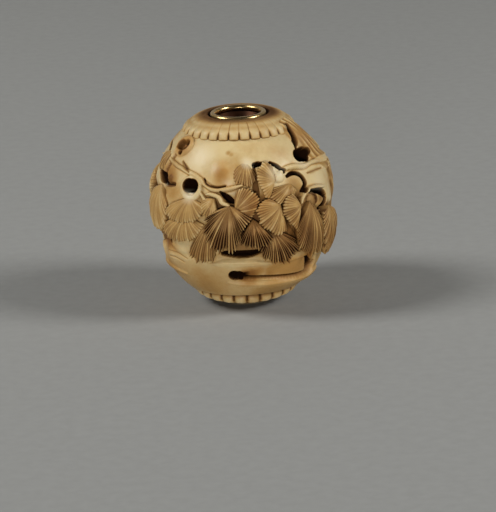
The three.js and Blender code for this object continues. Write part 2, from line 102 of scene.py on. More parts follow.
HUMP_LIFT = 0.28 * MM
HUMP_STEEPNESS = 1.2
HUMP_FOOT_SHARE = 0.4
SHOULDER_RADIUS = 2.4 * MM
SHOULDER_START = 0.75
SHOULDER_BLEND = 0.4
SLIT_HALF_WIDTH = 0.2 * MM
SLIT_DEPTH = 1.1 * MM
SHALLOW_SLIT = 0.3
RECESS_HALF_WIDTH = 0.6 * MM
RECESS_DEPTH = 0.7 * MM
RECESS_LINE = 0.16 * MM
RECESS_FACE_DEPTH = 0.4
RECESS_EXTRA_FOOT_DEPTH = 0.8
PIT_RADIUS = 0.68 * MM
PIT_DEPTH = 2.2 * MM
LIP_LIFT = 0.3 * MM
LIP_MIDDLE = 1.3
LIP_REACH = 0.5
BOSS_RADIUS = 0.7 * MM
BOSS_LIFT = 0.5 * MM
BOSS_CROWN = 0.8
HOLLOW_DEPTH = 0.5 * MM
PATCH_RADIUS = 1.5 * MM
EDGE_SOFTNESS = 0.14 * MM
SLIT_SOFTNESS = 0.1 * MM

# Shape of a tuft from its hub out, and of the skirt under its edge, as shares of the way, crown and edge.
RING_POWER = 0.85
DOME_PLACES = (0, 0.1, 0.3, 0.55, 0.8, 0.94, 1)
DOME_LIFTS = (0, 0.3, 0.75, 1, 0.95, 0.78, 0.6)
SKIRT_PLACES = (1.0, 0.985, 0.95, 0.9)
SKIRT_LIFTS = (0.2, -0.3, -1, -1.4)
# The skirt under a tuft's edge is darkened with dirt and painted shade.
SKIRT_DIRT_AND_SHADE = (0.25, 0.4, 0.55, 0.65)
SIDE_SKIRT_LIFT = -1.6
SIDE_SKIRT_DIRT_AND_SHADE = 0.5
FAN_BEND = 0.22
TUFT_END_DROP = 0.8
TUFT_END_POWER = 5
GROOVE_BLEND = 0.4

# Ranges of the random draws for each needle.
TIP_RANGE = (-0.1, 0.03)
GROOVE_START_RANGE = (0.35, 0.7)
RISE_RANGE = (-0.7, 0.7)
UNEVEN_RANGE = (-1, 1)

# Stain, painted shade and warmth, and how far they reach. No stain or shade is clean ivory, and a stain or
# shade of one is the darkest tint.
GROUND_RECESS_STAIN = 0.36
LOW_STAIN = 0.13
TRUNK_STAIN = 0.26
BARK_STAIN = 0.2
BRANCH_STAIN = 0.04
BRANCH_TOP = 0.9
# Painted shade in the crevices beside the branches, and how far it reaches.
CREVICE_PAINTED_SHADE = 0.4
CREVICE_REACH = 1.7
LIP_STAIN = -0.02
LIP_CLEAN_SHARE = 0.2
RECESS_FACE_STAIN = 0.08
# A painted shade line along the foot of each recess.
RECESS_FOOT_PAINTED_SHADE = 0.7
# Stain and painted shade in and beside the slits.
SLIT_DARKENING_SPILL = 0.8
SHALLOW_DARKENING_WIDTH = 0.75
# Painted shade inside the drilled pits, darker the deeper they go, and how far it spills past their edge.
PIT_PAINTED_SHADE = 0.4
PIT_DEPTH_PAINTED_SHADE = 1.3
PIT_SHADE_SPILL = 1
DEEPEST_PAINTED_SHADE = 1.4
LOW_WARMTH = 0.32

# Mesh density
GROUND_COLUMNS = 880
GROUND_ROWS = 320
FRONT_COLUMNS_SHARE = 0.64
FRONT_TURNS = (-90, 100)
NEEDLE_COLUMNS = 6
TUFT_RINGS = 22
PETAL_COLUMNS = 20
COLLAR_DOME_ROWS = 26
RING_COLUMNS = 128
RING_SECTION_POINTS = 28
ROUTE_STEPS = 6
RIM_STEPS = 12
ARC_SAMPLES = 2001
ARC_END_SHARE = 0.999

SEAT_HEIGHT = POLE_HEIGHT - SEAT_DROP
RIM_CENTRE_RADIUS = CORD_HOLE_RADIUS + RIM_SECTION_RADIUS
RIM_LAND_HEIGHT = math.sqrt(RIM_SECTION_RADIUS**2 - (RIM_LAND_WIDTH / 2) ** 2)
RIM_CENTRE_HEIGHT = SEAT_HEIGHT + FIT_CLEARANCE + RIM_SECTION_RADIUS
MID_HEIGHT = RIM_CENTRE_HEIGHT + RIM_LAND_HEIGHT
BORE_RADIUS = CORD_HOLE_RADIUS + LINER_WALL + FIT_CLEARANCE
SEAT_RADIUS = RIM_CENTRE_RADIUS + RIM_SECTION_RADIUS + SEAT_MARGIN
SLOPE_STEP = POLE_HEIGHT / 500

# Pine tufts: the hub, the rim from one end round to the other, the layer share and the patina share.
# Places are a turn and a share of the pole height. In most of the first rows, the front ones, they come from
# tuft outlines read off the photograph by eye, which a separate program turned into turns and shares.
TUFTS = [
    ((-20, 0.11), [(-32, -0.09), (-36, -0.21), (-38, -0.31), (-34, -0.37), (-28, -0.38), (-21, -0.34),
        (-18, -0.22)], 0.1, 0.55),
    ((-38, 0.12), [(-62, -0.04), (-60, -0.12), (-52, -0.17), (-43, -0.17), (-34, -0.14), (-28, -0.07),
        (-24, 0.03)], 0.25, 0.3),
    ((6, 0.09), [(-3, -0.09), (-2, -0.18), (2, -0.21), (6, -0.21), (11, -0.23), (15, -0.22), (18, -0.14),
        (16, -0.04)], 0.3, 0.95),
    ((18, -0.04), [(8, -0.23), (12, -0.33), (16, -0.39), (22, -0.42), (29, -0.42), (34, -0.4), (38, -0.31),
        (35, -0.18)], 0.15, 0.85),
    ((-66, 0.34), [(-80, 0.25), (-83, 0.1), (-80, -0.03), (-74, -0.1), (-66, -0.13), (-58, -0.07),
        (-55, 0.05), (-56, 0.18)], 0.3, 0.24),
    ((-71, 0.66), [(-84, 0.63), (-86, 0.54), (-83, 0.45), (-75, 0.46), (-67, 0.52)], -0.35, 0.45),
    ((-35, 0.29), [(-52, 0.2), (-56, 0.11), (-52, 0.04), (-45, 0.02), (-37, 0.03), (-30, 0.07), (-24, 0.16),
        (-24, 0.24)], 0.4, 0.28),
    ((-18, 0.3), [(-26, 0.3), (-27, 0.22), (-26, 0.14), (-21, 0.1), (-16, 0.12)], 0.25, 0.4),
    ((47, 0.16), [(35, -0.05), (34, -0.14), (35, -0.25), (42, -0.36), (50, -0.42), (57, -0.4), (60, -0.3),
        (59, -0.18), (57, -0.03)], 0.4, 0.7),
    ((-5, 0.18), [(-4, 0.37), (1, 0.4), (6, 0.39), (10, 0.33), (10, 0.24), (8, 0.16), (5, 0.11)], 0.45, 0.45),
    ((4, 0.64), [(-7, 0.57), (-7, 0.49), (-4, 0.43), (1, 0.4), (6, 0.39), (9, 0.43), (11, 0.52)], -0.3, 0.4),
    ((34, 0.38), [(20, 0.37), (17, 0.29), (20, 0.22), (26, 0.2), (32, 0.23), (38, 0.31)], 0.2, 0.5),
    ((-8, 0.23), [(-22, 0.16), (-25, 0.05), (-25, -0.07), (-22, -0.17), (-16, -0.23), (-11, -0.24),
        (-6, -0.22), (-3, -0.17), (-1, -0.07), (2, 0.02), (5, 0.08), (4, 0.17)], 0.7, 0.85),
    ((24, 0.2), [(16, 0.29), (11, 0.26), (8, 0.18), (8, 0.11), (10, 0.03), (14, -0.04), (18, -0.08),
        (24, -0.09), (27, -0.05)], 0.7, 0.45),
    ((38, 0.16), [(33, 0.29), (28, 0.28), (25, 0.21), (24, 0.12), (26, 0.04), (30, -0.03),
        (34, -0.06)], 0.85, 0.45),
    ((22, 0.43), [(22, 0.57), (17, 0.6), (12, 0.57), (10, 0.51), (10, 0.43), (12, 0.36), (14, 0.29),
        (17, 0.28)], 1.0, 0.35),
    ((68, 0.04), [(59, 0.0), (57, -0.14), (59, -0.3), (64, -0.4), (72, -0.465), (80, -0.41), (86, -0.26),
        (86, -0.1)], 0.6, 0.65),
    ((132, 0.1), [(112, 0.02), (108, -0.16), (114, -0.32), (126, -0.39), (138, -0.39), (150, -0.32),
        (154, -0.16)], 0.2, 0.4),
    ((192, 0.1), [(172, 0.02), (168, -0.16), (174, -0.32), (186, -0.4), (199, -0.4), (211, -0.31),
        (213, -0.14)], 0.2, 0.35),
    ((236, 0.06), [(220, -0.02), (217, -0.18), (224, -0.32), (235, -0.38), (247, -0.34), (254, -0.2),
        (252, -0.05)], 0.3, 0.3),
    ((114, 0.32), [(104, 0.24), (102, 0.12), (106, 0.0), (114, -0.05), (122, -0.02), (128, 0.1),
        (127, 0.22)], 0.4, 0.35),
    ((160, 0.28), [(143, 0.2), (140, 0.02), (147, -0.12), (158, -0.17), (169, -0.13), (177, 0.01),
        (177, 0.17)], 0.6, 0.4),
    ((222, 0.36), [(206, 0.28), (203, 0.12), (210, -0.04), (221, -0.09), (232, -0.05), (240, 0.09),
        (239, 0.26)], 0.6, 0.3),
    ((252, 0.08), [(241, 0.0), (239, -0.12), (245, -0.22), (252, -0.25), (259, -0.2),
        (262, -0.08)], 0.1, 0.3),
    ((128, 0.46), [(114, 0.42), (111, 0.28), (117, 0.16), (128, 0.11), (139, 0.14), (146, 0.26),
        (144, 0.4)], 0.9, 0.3),
    ((188, 0.48), [(173, 0.45), (170, 0.31), (176, 0.19), (187, 0.14), (199, 0.17), (205, 0.3),
        (202, 0.44)], 0.9, 0.35),
    ((247, 0.4), [(233, 0.36), (230, 0.22), (236, 0.08), (247, 0.03), (257, 0.07), (262, 0.2),
        (260, 0.34)], 0.5, 0.3),
]
FRONT_TUFTS = 17

# Branches, trunk, clouds and ledges: turn, height share and width share along each.
BRANCHES = [
    [(-62, 0.77, 0.4), (-63, 0.695, 0.8), (-63.5, 0.62, 0.9), (-65, 0.555, 1), (-66, 0.475, 0.9),
        (-64.5, 0.405, 0.6)],
    [(-64.5, 0.595, 0.5), (-58.5, 0.57, 0.8), (-45, 0.535, 0.8), (-33.5, 0.495, 1), (-24, 0.42, 1),
        (-19, 0.385, 1), (-12, 0.385, 0.9), (-6, 0.4, 0.8), (0, 0.42, 0.5)],
    [(-23.5, 0.335, 0.4), (-21, 0.34, 0.8), (-15.5, 0.315, 0.9), (-13, 0.26, 0.9), (-9, 0.235, 0.7)],
    [(-29.5, 0.37, 0.5), (-26, 0.31, 0.7), (-23.5, 0.255, 0.7), (-25, 0.205, 0.5)],
    [(24, 0.46, 0.4), (32, 0.52, 0.8), (41, 0.525, 1.1), (50, 0.5, 1), (60, 0.505, 0.8), (72, 0.49, 1.2),
        (84, 0.46, 1.3), (96, 0.46, 0.8)],
    [(88, 0.36, 0.5), (100, 0.42, 0.8), (106, 0.43, 0.5)],
    [(40, 0.175, 0.5), (42, 0.225, 0.8), (46.5, 0.27, 0.9), (55, 0.28, 0.9), (66, 0.245, 0.6)],
    [(96, 0.3, 0.6), (112, 0.42, 1), (128, 0.48, 1), (144, 0.44, 0.9), (158, 0.33, 0.6)],
    [(104, 0.5, 0.6), (126, 0.62, 1.1), (182, 0.55, 1), (222, 0.48, 1), (239, 0.45, 0.8), (250, 0.49, 0.4)],
]
TRUNK = [
    (67, 0.87, 0.7), (66, 0.8, 0.85), (68, 0.68, 0.85), (76, 0.54, 0.6), (96, 0.36, 0.6), (106, 0.1, 0.7),
    (112, -0.12, 0.7), (108, -0.34, 0.75), (100, -0.46, 0.8),
]
CLOUDS = [
    [(-112, -0.48, 0.2), (-98, -0.5, 0.35), (-84, -0.52, 0.35), (-66, -0.54, 0.25), (-50, -0.56, 0.15)],
    [(150, -0.52, 0.3), (170, -0.55, 0.8), (190, -0.58, 0.9), (212, -0.6, 0.6), (226, -0.6, 0.3)],
]
LEDGES = [
    [(-14, -0.61, 0.4), (-4, -0.63, 0.8), (14, -0.652, 1), (36, -0.67, 1.1), (56, -0.675, 1.1),
        (70, -0.672, 1.1), (82, -0.665, 0.7)],
    [(-24, -0.39, 0.3), (-14, -0.385, 1), (-5, -0.38, 0.95), (6, -0.385, 0.8), (17, -0.4, 0.5),
        (26, -0.42, 0.2)],
]

# The ledges are raised twice, in front and again behind, each turned by one of these.
LEDGE_TURNS = (0, 180)

# The swell over the long branch, and where the ground isn't cut back: turn and height share.
HUMP = (-12.5, 0.52)
SHOULDERS = [(66, 0.26), (84, 0.24), (-50, 0.12), (-36, 0.1), (-28, -0.1), (-46, -0.1)]

# Slits: depth share, share of stain and painted shade, and the turn, height share and width share along each.
SLITS = [
    (0.14, 0.55, [(-50.5, 0.605, 0.5), (-45, 0.56, 0.9), (-39.5, 0.52, 0.5)]),
    (0.25, 0.9, [(-27, 0.48, 0.35), (-23.5, 0.425, 0.6), (-17, 0.405, 0.6), (-11, 0.42, 0.35)]),
    (0.9, 1.05, [(-14, 0.36, 0.5), (-9.5, 0.305, 1.5), (-6, 0.265, 0.9)]),
    (1, 1.3, [(10.5, 0.6, 1.1), (13.5, 0.605, 1.1), (17.5, 0.605, 0.5)]),
    (1, 1.3, [(23, 0.6, 0.7), (28, 0.56, 0.9), (32, 0.5, 0.6)]),
    (0.55, 0.9, [(33.5, 0.455, 0.6), (37, 0.47, 0.9), (41, 0.465, 0.9), (45.5, 0.425, 1), (47.5, 0.345, 1.3),
        (44.5, 0.285, 1.2)]),
    (0.1, 0.45, [(53, 0.43, 0.5), (59, 0.425, 0.8), (66, 0.42, 0.7), (76, 0.4, 0.4)]),
    (1, 1.3, [(49.5, 0.26, 0.8), (59, 0.225, 1.3), (67, 0.155, 2), (66, 0.08, 2.1), (60, 0.05, 1.4)]),
    (0.8, 1.1, [(-77, 0.45, 1.3), (-71, 0.425, 2.7), (-65.5, 0.41, 2.7), (-62.5, 0.385, 1.6)]),
    (0.2, 0.65, [(-63, 0.36, 1), (-57, 0.372, 1.2), (-52, 0.385, 0.9)]),
    (1, 1.1, [(-15, -0.28, 0.9), (-6, -0.29, 1.5), (3.5, -0.29, 1.5), (11, -0.275, 0.7)]),
    (0.5, 0.85, [(58, 0.84, 1), (56, 0.78, 0.9), (54.5, 0.7, 0.7), (51.5, 0.63, 0.8)]),
    (0.8, 1, [(-92, 0.7, 0.5), (-80, 0.66, 0.9), (-75, 0.57, 0.9)]),
    (0.08, 0.34, [(-64, -0.335, 0.3), (-52, -0.325, 0.5), (-43, -0.37, 0.35)]),
    (0.06, 0.26, [(-64, -0.4, 0.3), (-55, -0.39, 0.5), (-47, -0.42, 0.35)]),
    (0.5, 0.5, [(-112, -0.27, 1.2), (-95, -0.275, 1.8), (-82, -0.275, 1.8), (-72, -0.25, 0.8)]),
    (1, 1, [(50, -0.42, 1.6), (55, -0.49, 3), (60, -0.58, 3.4)]),
    (1, 1.1, [(172, -0.505, 2), (200, -0.54, 2.2), (226, -0.55, 2)]),
    (0.3, 0.42, [(10, 0.6, 0.5), (9.5, 0.45, 1.2), (9.5, 0.3, 1.6), (9, 0.1, 1.6), (9, -0.05, 1.2),
        (8, -0.15, 0.6)]),
    (0.3, 0.45, [(26, 0.2, 0.8), (27, 0.05, 1.4), (31, -0.08, 1.6), (36, -0.2, 1.5), (39, -0.32, 0.8)]),
]

# Recesses, deepest along their foot: turn, height share and width share along each.
RECESSES = [
    [(-3.5, -0.528, 0.5), (1, -0.528, 0.8), (6, -0.528, 1), (14, -0.529, 1.15), (25, -0.53, 1.5),
        (36, -0.532, 1.85), (48, -0.536, 2.1), (60, -0.56, 1.8)],
    [(170, -0.49, 0.6), (186, -0.49, 0.9), (204, -0.48, 1.3), (220, -0.47, 1.6)],
]

# Drilled pits: turn, height share, radius share and depth share.
PITS = [
    (-37.3, 0.4, 0.9, 1), (-34.6, 0.4, 0.9, 1), (-60, 0.73, 0.7, 0.12), (-55, 0.737, 0.75, 0.16),
    (-55.5, 0.67, 0.32, 0.12), (-8.2, -0.522, 0.78, 0.8), (-5, -0.523, 0.74, 0.7), (51.3, 0.606, 0.85, 0.9),
    (54.6, 0.603, 0.95, 0.9), (57.6, 0.588, 0.85, 0.9), (52.5, 0.16, 0.9, 0.22), (-57, -0.2, 0.5, 0.35),
    (112, 0.28, 0.9, 0.9), (172, 0.3, 0.9, 0.9), (236, 0.47, 0.8, 0.9),
]

# Raised lips round pits: turn, height share and radius share.
LIPS = [(-36, 0.375, 1.05), (-57.5, 0.73, 0.95)]

# Bosses: turn, height share, radius share, lift share and stain share.
BOSSES = [
    (27, 0.465, 0.85, 0.75, -0.05), (23, 0.53, 0.6, 0.75, -0.05), (-56.5, 0.733, 0.35, 0.05, 0.3),
    (-58, 0.43, 0.75, 0.2, 0.14), (55, 0.14, 1.3, -0.5, 0.3),
]

# Smudges of dirt on the ivory: turn, height share, radius share and strength share.
SMUDGES = [
    (38, 0.36, 1.1, 0.3), (-60, 0.45, 1.2, 0.28), (-66, -0.24, 1.2, 0.15), (-0.5, -0.527, 0.6, 0.9),
    (4, -0.53, 0.8, 0.35), (-58, 0.41, 1.1, 0.45), (-54, 0.39, 0.7, 0.3), (-53, 0.3, 1.4, 0.22),
    (-44, 0.25, 1, 0.14), (61, 0.14, 0.8, 0.4), (18, -0.55, 0.5, 0.1), (-10, 0.715, 0.28, 0.25),
    (-7.5, 0.7, 0.3, 0.22), (-14, 0.52, 0.8, 0.25), (-5, 0.64, 0.9, 0.14), (-2, 0.58, 1, 0.2),
    (10, 0.72, 1.3, 0.06), (32, 0.68, 1.2, 0.08), (-53, 0.7, 0.6, 0.18), (-25, 0.6, 1, 0.08),
    (88, 0.2, 1.2, 0.2), (-30, -0.7, 1.6, 0.1), (20, -0.76, 1.6, 0.12), (-70, -0.5, 1.2, 0.1),
    (120, 0.75, 1.6, 0.2), (200, 0.7, 1.4, 0.2), (170, -0.7, 1.8, 0.2), (260, 0.72, 1.4, 0.25),
]

# Soft hollows in the ground: turn, height share, radius share and depth share.
HOLLOWS = [(-90, -0.37, 1.4, 1.1), (-74, -0.34, 1.1, 0.7), (88, -0.5, 1.3, 0.7), (68, -0.52, 1, 0.4)]

# Warm patches in the ivory: turn, height share, radius share and strength share.
WARM_PATCHES = [
    (-14, 0.6, 1, 0.8), (-13.5, 0.53, 1.1, 1.2), (-15, 0.46, 1, 1.1), (-9, 0.54, 1, 0.7),
    (-21, 0.5, 0.9, 0.5), (0, -0.5, 0.8, 0.9), (10, -0.49, 0.9, 1), (22, -0.49, 1.2, 1.5),
    (34, -0.49, 1.5, 1.8), (44, -0.49, 1.4, 1.8), (-57, -0.24, 1.2, 1.5), (-68, -0.26, 1.4, 1.6),
    (3, -0.53, 1, 1.8), (-53, 0.3, 1.3, 0.6), (-60, 0.42, 1, 0.7), (-60, 0.45, 1.3, 1.2),
    (62, 0.74, 1.3, 0.6), (66, 0.64, 1.4, 0.6), (9, 0.25, 1.6, 1), (9, 0, 1.2, 0.9), (31, -0.1, 1.5, 0.9),
    (-36, -0.3, 1, 0.4), (-10, 0.1, 0.9, 0.2), (3, 0.2, 0.8, 0.4), (-57, 0.732, 1.1, 2.4), (60, 0.12, 1, 0.3),
    (72, 0.62, 1.5, 0.4), (140, -0.45, 1.6, 0.5), (205, -0.47, 1.6, 0.6), (250, -0.4, 1.4, 0.5),
]

# Pale places where handling has rubbed the ivory, and painted highlights in the first four, below a drilled
# pit, on a boss, on a tuft's hub and at a glint: turn, height share, radius share and strength share.
PALE_AND_HIGHLIGHT_PATCHES = [
    (-36, 0.315, 0.7, 1), (25, 0.49, 0.9, 0.9), (5, 0.62, 0.6, 0.8), (-63, 0.36, 0.5, 0.8),
    (50, 0.53, 0.8, 0.6), (-30, 0.66, 1.4, 0.3), (62, 0.3, 1.2, 0.4), (150, 0.6, 1.4, 0.4),
    (215, 0.62, 1.4, 0.4),
]


def smooth_step(value):
    held = np.clip(value, 0, 1)
    return held * held * (3 - 2 * held)


def ground_radius(height):
    """The ground curve of the body: a slightly squared ellipse."""
    share = np.minimum(np.abs(height) / POLE_HEIGHT, NEAR_POLE_SHARE)
    return BODY_RADIUS * (1 - share**BODY_SQUARENESS) ** (1 / BODY_SQUARENESS)


def recess_at(height):
    """The ground is cut back behind the pine tufts, between two blended edges."""
    share = height / POLE_HEIGHT
    from_top = smooth_step((RECESS_TOP_SHARE - share) / RECESS_BLEND_SHARE)
    from_foot = smooth_step((share - RECESS_FOOT_SHARE) / RECESS_BLEND_SHARE)
    return GROUND_RECESS * from_top * from_foot


def lowness(height):
    """How low a place lies: nothing on the upper body and its waist, and one near the foot."""
    return smooth_step((LOW_TOP_SHARE - height / POLE_HEIGHT) / LOW_BLEND_SHARE)


def slope_at(height):
    return (ground_radius(height + SLOPE_STEP) - ground_radius(height - SLOPE_STEP)) / (2 * SLOPE_STEP)


def points_around(angle, radius, height):
    """Points at an angle about the cord hole, a radius from it and a height, in the row frame."""
    return np.stack([radius * np.sin(angle), -radius * np.cos(angle), height], axis=-1)


def surface_points(turn, height, lift):
    """Points on the body, moved along its outward direction by lift, in the row frame."""
    slope = slope_at(height)
    length = np.hypot(1, slope)
    raised = height - lift * slope / length
    return points_around(turn * DEGREE, ground_radius(height) + lift / length, raised + MID_HEIGHT)


ARC_HEIGHTS = np.linspace(-ARC_END_SHARE * POLE_HEIGHT, ARC_END_SHARE * POLE_HEIGHT, ARC_SAMPLES)
ARC_STEPS = np.hypot(np.diff(ARC_HEIGHTS), np.diff(ground_radius(ARC_HEIGHTS)))
ARC_LENGTHS = np.concatenate([[0], np.cumsum(ARC_STEPS)])


def arc_length(height):
    return np.interp(height, ARC_HEIGHTS, ARC_LENGTHS)


def turn_from(turn, around):
    """The turn from one place to another the short way round."""
    return (turn - around + 180) % 360 - 180


def spline_rows(places, steps):
    """Rows along a Catmull-Rom curve through places, with as many steps between each two of them."""
    padded = np.vstack([2 * places[0] - places[1], places, 2 * places[-1] - places[-2]])
    t = (np.arange(steps) / steps)[:, None]
    rows = []
    for index in range(len(places) - 1):
        before, start, end, after = padded[index:index + 4]
        square = (2 * before - 5 * start + 4 * end - after) * t**2
        cube = (3 * start - before - 3 * end + after) * t**3
        rows.append(0.5 * (2 * start + (end - before) * t + square + cube))
    return np.vstack(rows + [places[-1:]])


def smooth_route(route):
    """A smooth curve through the places of a route, as rows of turn, height and width share."""
    rows = spline_rows(np.array(route, float), ROUTE_STEPS)
    rows[:, 1] *= POLE_HEIGHT
    return rows


def curve_through(places, count):
    """Evenly spaced points on a smooth curve through places, and the curve's length."""
    rows = spline_rows(np.array(places, float), RIM_STEPS)
    walked = np.concatenate([[0], np.cumsum(np.hypot(*np.diff(rows, axis=0).T))])
    even = np.linspace(0, walked[-1], count)
    return np.stack([np.interp(even, walked, rows[:, k]) for k in (0, 1)], axis=-1), walked[-1]


def route_distance(turn, height, route):
    """Each point's distance to a route, the width share there, the way along it and the side it lies on."""
    rows = smooth_route(route)
    arcs = arc_length(height)
    row_arcs = arc_length(rows[:, 1])
    around = ground_radius(height) * DEGREE
    best = np.full(turn.shape, np.inf)
    width = np.ones(turn.shape)
    along = np.zeros(turn.shape)
    above = np.zeros(turn.shape)
    walked = 0.0
    for index in range(len(rows) - 1):
        turned = rows[index + 1, 0] - rows[index, 0]
        widened = rows[index + 1, 2] - rows[index, 2]
        point_right = turn_from(turn, rows[index, 0]) * around
        point_up = arcs - row_arcs[index]
        end_right = turned * around
        end_up = row_arcs[index + 1] - row_arcs[index]
        length2 = end_right**2 + end_up**2
        share = np.clip((point_right * end_right + point_up * end_up) / length2, 0, 1)
        over = point_up - share * end_up
        distance = np.hypot(point_right - share * end_right, over)
        nearer = distance < best
        best = np.where(nearer, distance, best)
        width = np.where(nearer, rows[index, 2] + share * widened, width)
        along = np.where(nearer, walked + share * np.sqrt(length2), along)
        above = np.where(nearer, np.sign(over), above)
        walked += float(np.hypot(turned * BODY_RADIUS * DEGREE, end_up))
    return best, width, along, above


def point_distance(turn, height, place):
    """The distance along the surface from each point to one place."""
    around, share = place
    right = turn_from(turn, around) * ground_radius(height) * DEGREE
    return np.hypot(right, arc_length(height) - arc_length(share * POLE_HEIGHT))


def bump_shape(share):
    """The rounded section of a raised form, from one in its middle to nothing at its edge."""
    return np.sqrt(np.clip(1 - np.abs(share) ** BUMP_POWER, 0, 1))


def patches_at(turn, height, patches):
    """How strongly each point is touched by a list of soft round patches."""
    strongest = np.zeros(turn.shape)
    for *place, radius_share, strength in patches:
        distance = point_distance(turn, height, place)
        touched = strength * smooth_step(1 - distance / (PATCH_RADIUS * radius_share))
        strongest = np.maximum(strongest, touched)
    return strongest


def warmth_at(turn, height):
    warm = patches_at(turn, height, WARM_PATCHES) + LOW_WARMTH * lowness(height)
    # Pale patches, some of them painted highlights, count against warmth.
    return warm - patches_at(turn, height, PALE_AND_HIGHLIGHT_PATCHES)


def build_mesh(name, points, faces, **shares):
    """A smooth mesh piece with shares that its material reads, such as the stain and painted shade in its
    cuts.
    """
    mesh = bpy.data.meshes.new(name)
    mesh.vertices.add(len(points))
    mesh.vertices.foreach_set("co", np.asarray(points, np.float32).ravel())
    faces = np.asarray(faces, np.int32)
    mesh.loops.add(faces.size)
    mesh.loops.foreach_set("vertex_index", faces.ravel())
    mesh.polygons.add(len(faces))
    mesh.polygons.foreach_set("loop_start", np.arange(0, faces.size, faces.shape[1], dtype=np.int32))
    mesh.polygons.foreach_set("use_smooth", np.full(len(faces), True))
    mesh.update(calc_edges=True)
    for share_name, values in shares.items():
        layer = mesh.attributes.new(share_name, "FLOAT", "POINT")
        layer.data.foreach_set("value", np.asarray(values, np.float32).ravel())
    piece = bpy.data.objects.new(name, mesh)
    bpy.context.scene.collection.objects.link(piece)
    return piece


def grid_faces(rows, columns, wrap):
    """Quads of a grid stored row by row. They face out where columns run with the turn and rows run up."""
    low = np.arange(rows - 1)[:, None] * columns
    high = low + columns
    column = np.arange(columns if wrap else columns - 1)[None, :]
    after = (column + 1) % columns
    return np.stack([low + column, low + after, high + after, high + column], axis=-1).reshape(-1, 4)


def cut_back_ground(turn, height):
    """The ground cut back behind the tufts, with its swell and its soft hollows, and its first stain."""
    shoulder = np.min([point_distance(turn, height, place) for place in SHOULDERS], axis=0) / SHOULDER_RADIUS
    recess = recess_at(height) * smooth_step((shoulder - SHOULDER_START) / SHOULDER_BLEND)
    stain = GROUND_RECESS_STAIN * recess / GROUND_RECESS + LOW_STAIN * lowness(height)
    hump = smooth_step(HUMP_STEEPNESS * (1 - point_distance(turn, height, HUMP) / HUMP_RADIUS))
    lift = HUMP_LIFT * hump * (height / POLE_HEIGHT > HUMP_FOOT_SHARE) - recess
    return lift - HOLLOW_DEPTH * patches_at(turn, height, HOLLOWS), stain


def raise_clouds(turn, height, lift):
    for route in CLOUDS:
        distance, width, _, _ = route_distance(turn, height, route)
        shape = smooth_step(CLOUD_EDGE - distance / (CLOUD_HALF_WIDTH * width))
        raised = CLOUD_LIFT * np.minimum(width / CLOUD_FULL_WIDTH, 1) * shape
        lift = np.maximum(lift, np.minimum(lift + raised, CLOUD_LIFT))
    return lift


def raise_ledges(turn, height, lift):
    for around in LEDGE_TURNS:
        for route in LEDGES:
            distance, width, _, _ = route_distance(turn - around, height, route)
            across = distance / (LEDGE_HALF_WIDTH * width)
            raised = LEDGE_LIFT * np.minimum(width, 1) * smooth_step(LEDGE_STEEPNESS * (LEDGE_EDGE - across))
            lift = np.where(across < LEDGE_EDGE, np.maximum(lift, raised), lift)
    return lift


def raise_trunk(turn, height, lift, stain):
    distance, width, along, _ = route_distance(turn, height, TRUNK)
    across = distance / (TRUNK_HALF_WIDTH * width)
    knots = along / BARK_KNOT_LENGTH
    bark = np.sin(distance / BARK_PITCH + BARK_WAVE * np.sin(knots)) * np.cos(BARK_TWIST * knots)
    raised = TRUNK_LIFT * np.minimum(width, 1) * bump_shape(np.minimum(across, 1)) + BARK_RELIEF * bark
    lift = np.where(across < 1, np.maximum(lift, raised), lift)
    return lift, np.where(across < 1, TRUNK_STAIN - BARK_STAIN * bark, stain)


def raise_branches(turn, height, lift, stain):
    """Branches, clean along their tops, with painted shade in the crevices beside them."""
    for route in BRANCHES:
        distance, width, _, _ = route_distance(turn, height, route)
        across = distance / (BRANCH_HALF_WIDTH * width)
        raised = BRANCH_LIFT * bump_shape(np.minimum(across, 1))
        lift = np.where(across < 1, np.maximum(lift, raised), lift)
        # Painted shade along both sides of the branch.
        crevice_shade = np.maximum(stain, CREVICE_PAINTED_SHADE * (CREVICE_REACH - across))
        stain = np.where(across < CREVICE_REACH, crevice_shade, stain)
        stain = np.where(across < BRANCH_TOP, BRANCH_STAIN, stain)
    return lift, stain


def raise_lips(turn, height, lift, stain):
    for *place, radius_share in LIPS:
        distance = point_distance(turn, height, place) / (PIT_RADIUS * radius_share)
        lip = 1 - np.abs(distance - LIP_MIDDLE) / LIP_REACH
        raised = LIP_LIFT * bump_shape(1 - np.clip(lip, 0, 1))
        lift = np.where(lip > 0, np.maximum(lift, raised), lift)
        stain = np.where(lip > LIP_CLEAN_SHARE, np.minimum(stain, LIP_STAIN), stain)
    return lift, stain


def cut_recesses(turn, height, lift, stain):
    for route in RECESSES:
        distance, width, _, above = route_distance(turn, height, route)
        half_width = RECESS_HALF_WIDTH * width
        inside = smooth_step((half_width - distance) / EDGE_SOFTNESS + 0.5)
        foot = smooth_step((-above * distance - half_width) / RECESS_LINE + 2)
        depth = RECESS_DEPTH * (RECESS_FACE_DEPTH + RECESS_EXTRA_FOOT_DEPTH * foot)
        lift = lift - inside * (depth + np.maximum(lift, 0))
        # The recess face is lightly stained, and its foot gets a painted shade line.
        stain = np.where(inside > 0.1, inside * (RECESS_FACE_STAIN + RECESS_FOOT_PAINTED_SHADE * foot), stain)
    return lift, stain


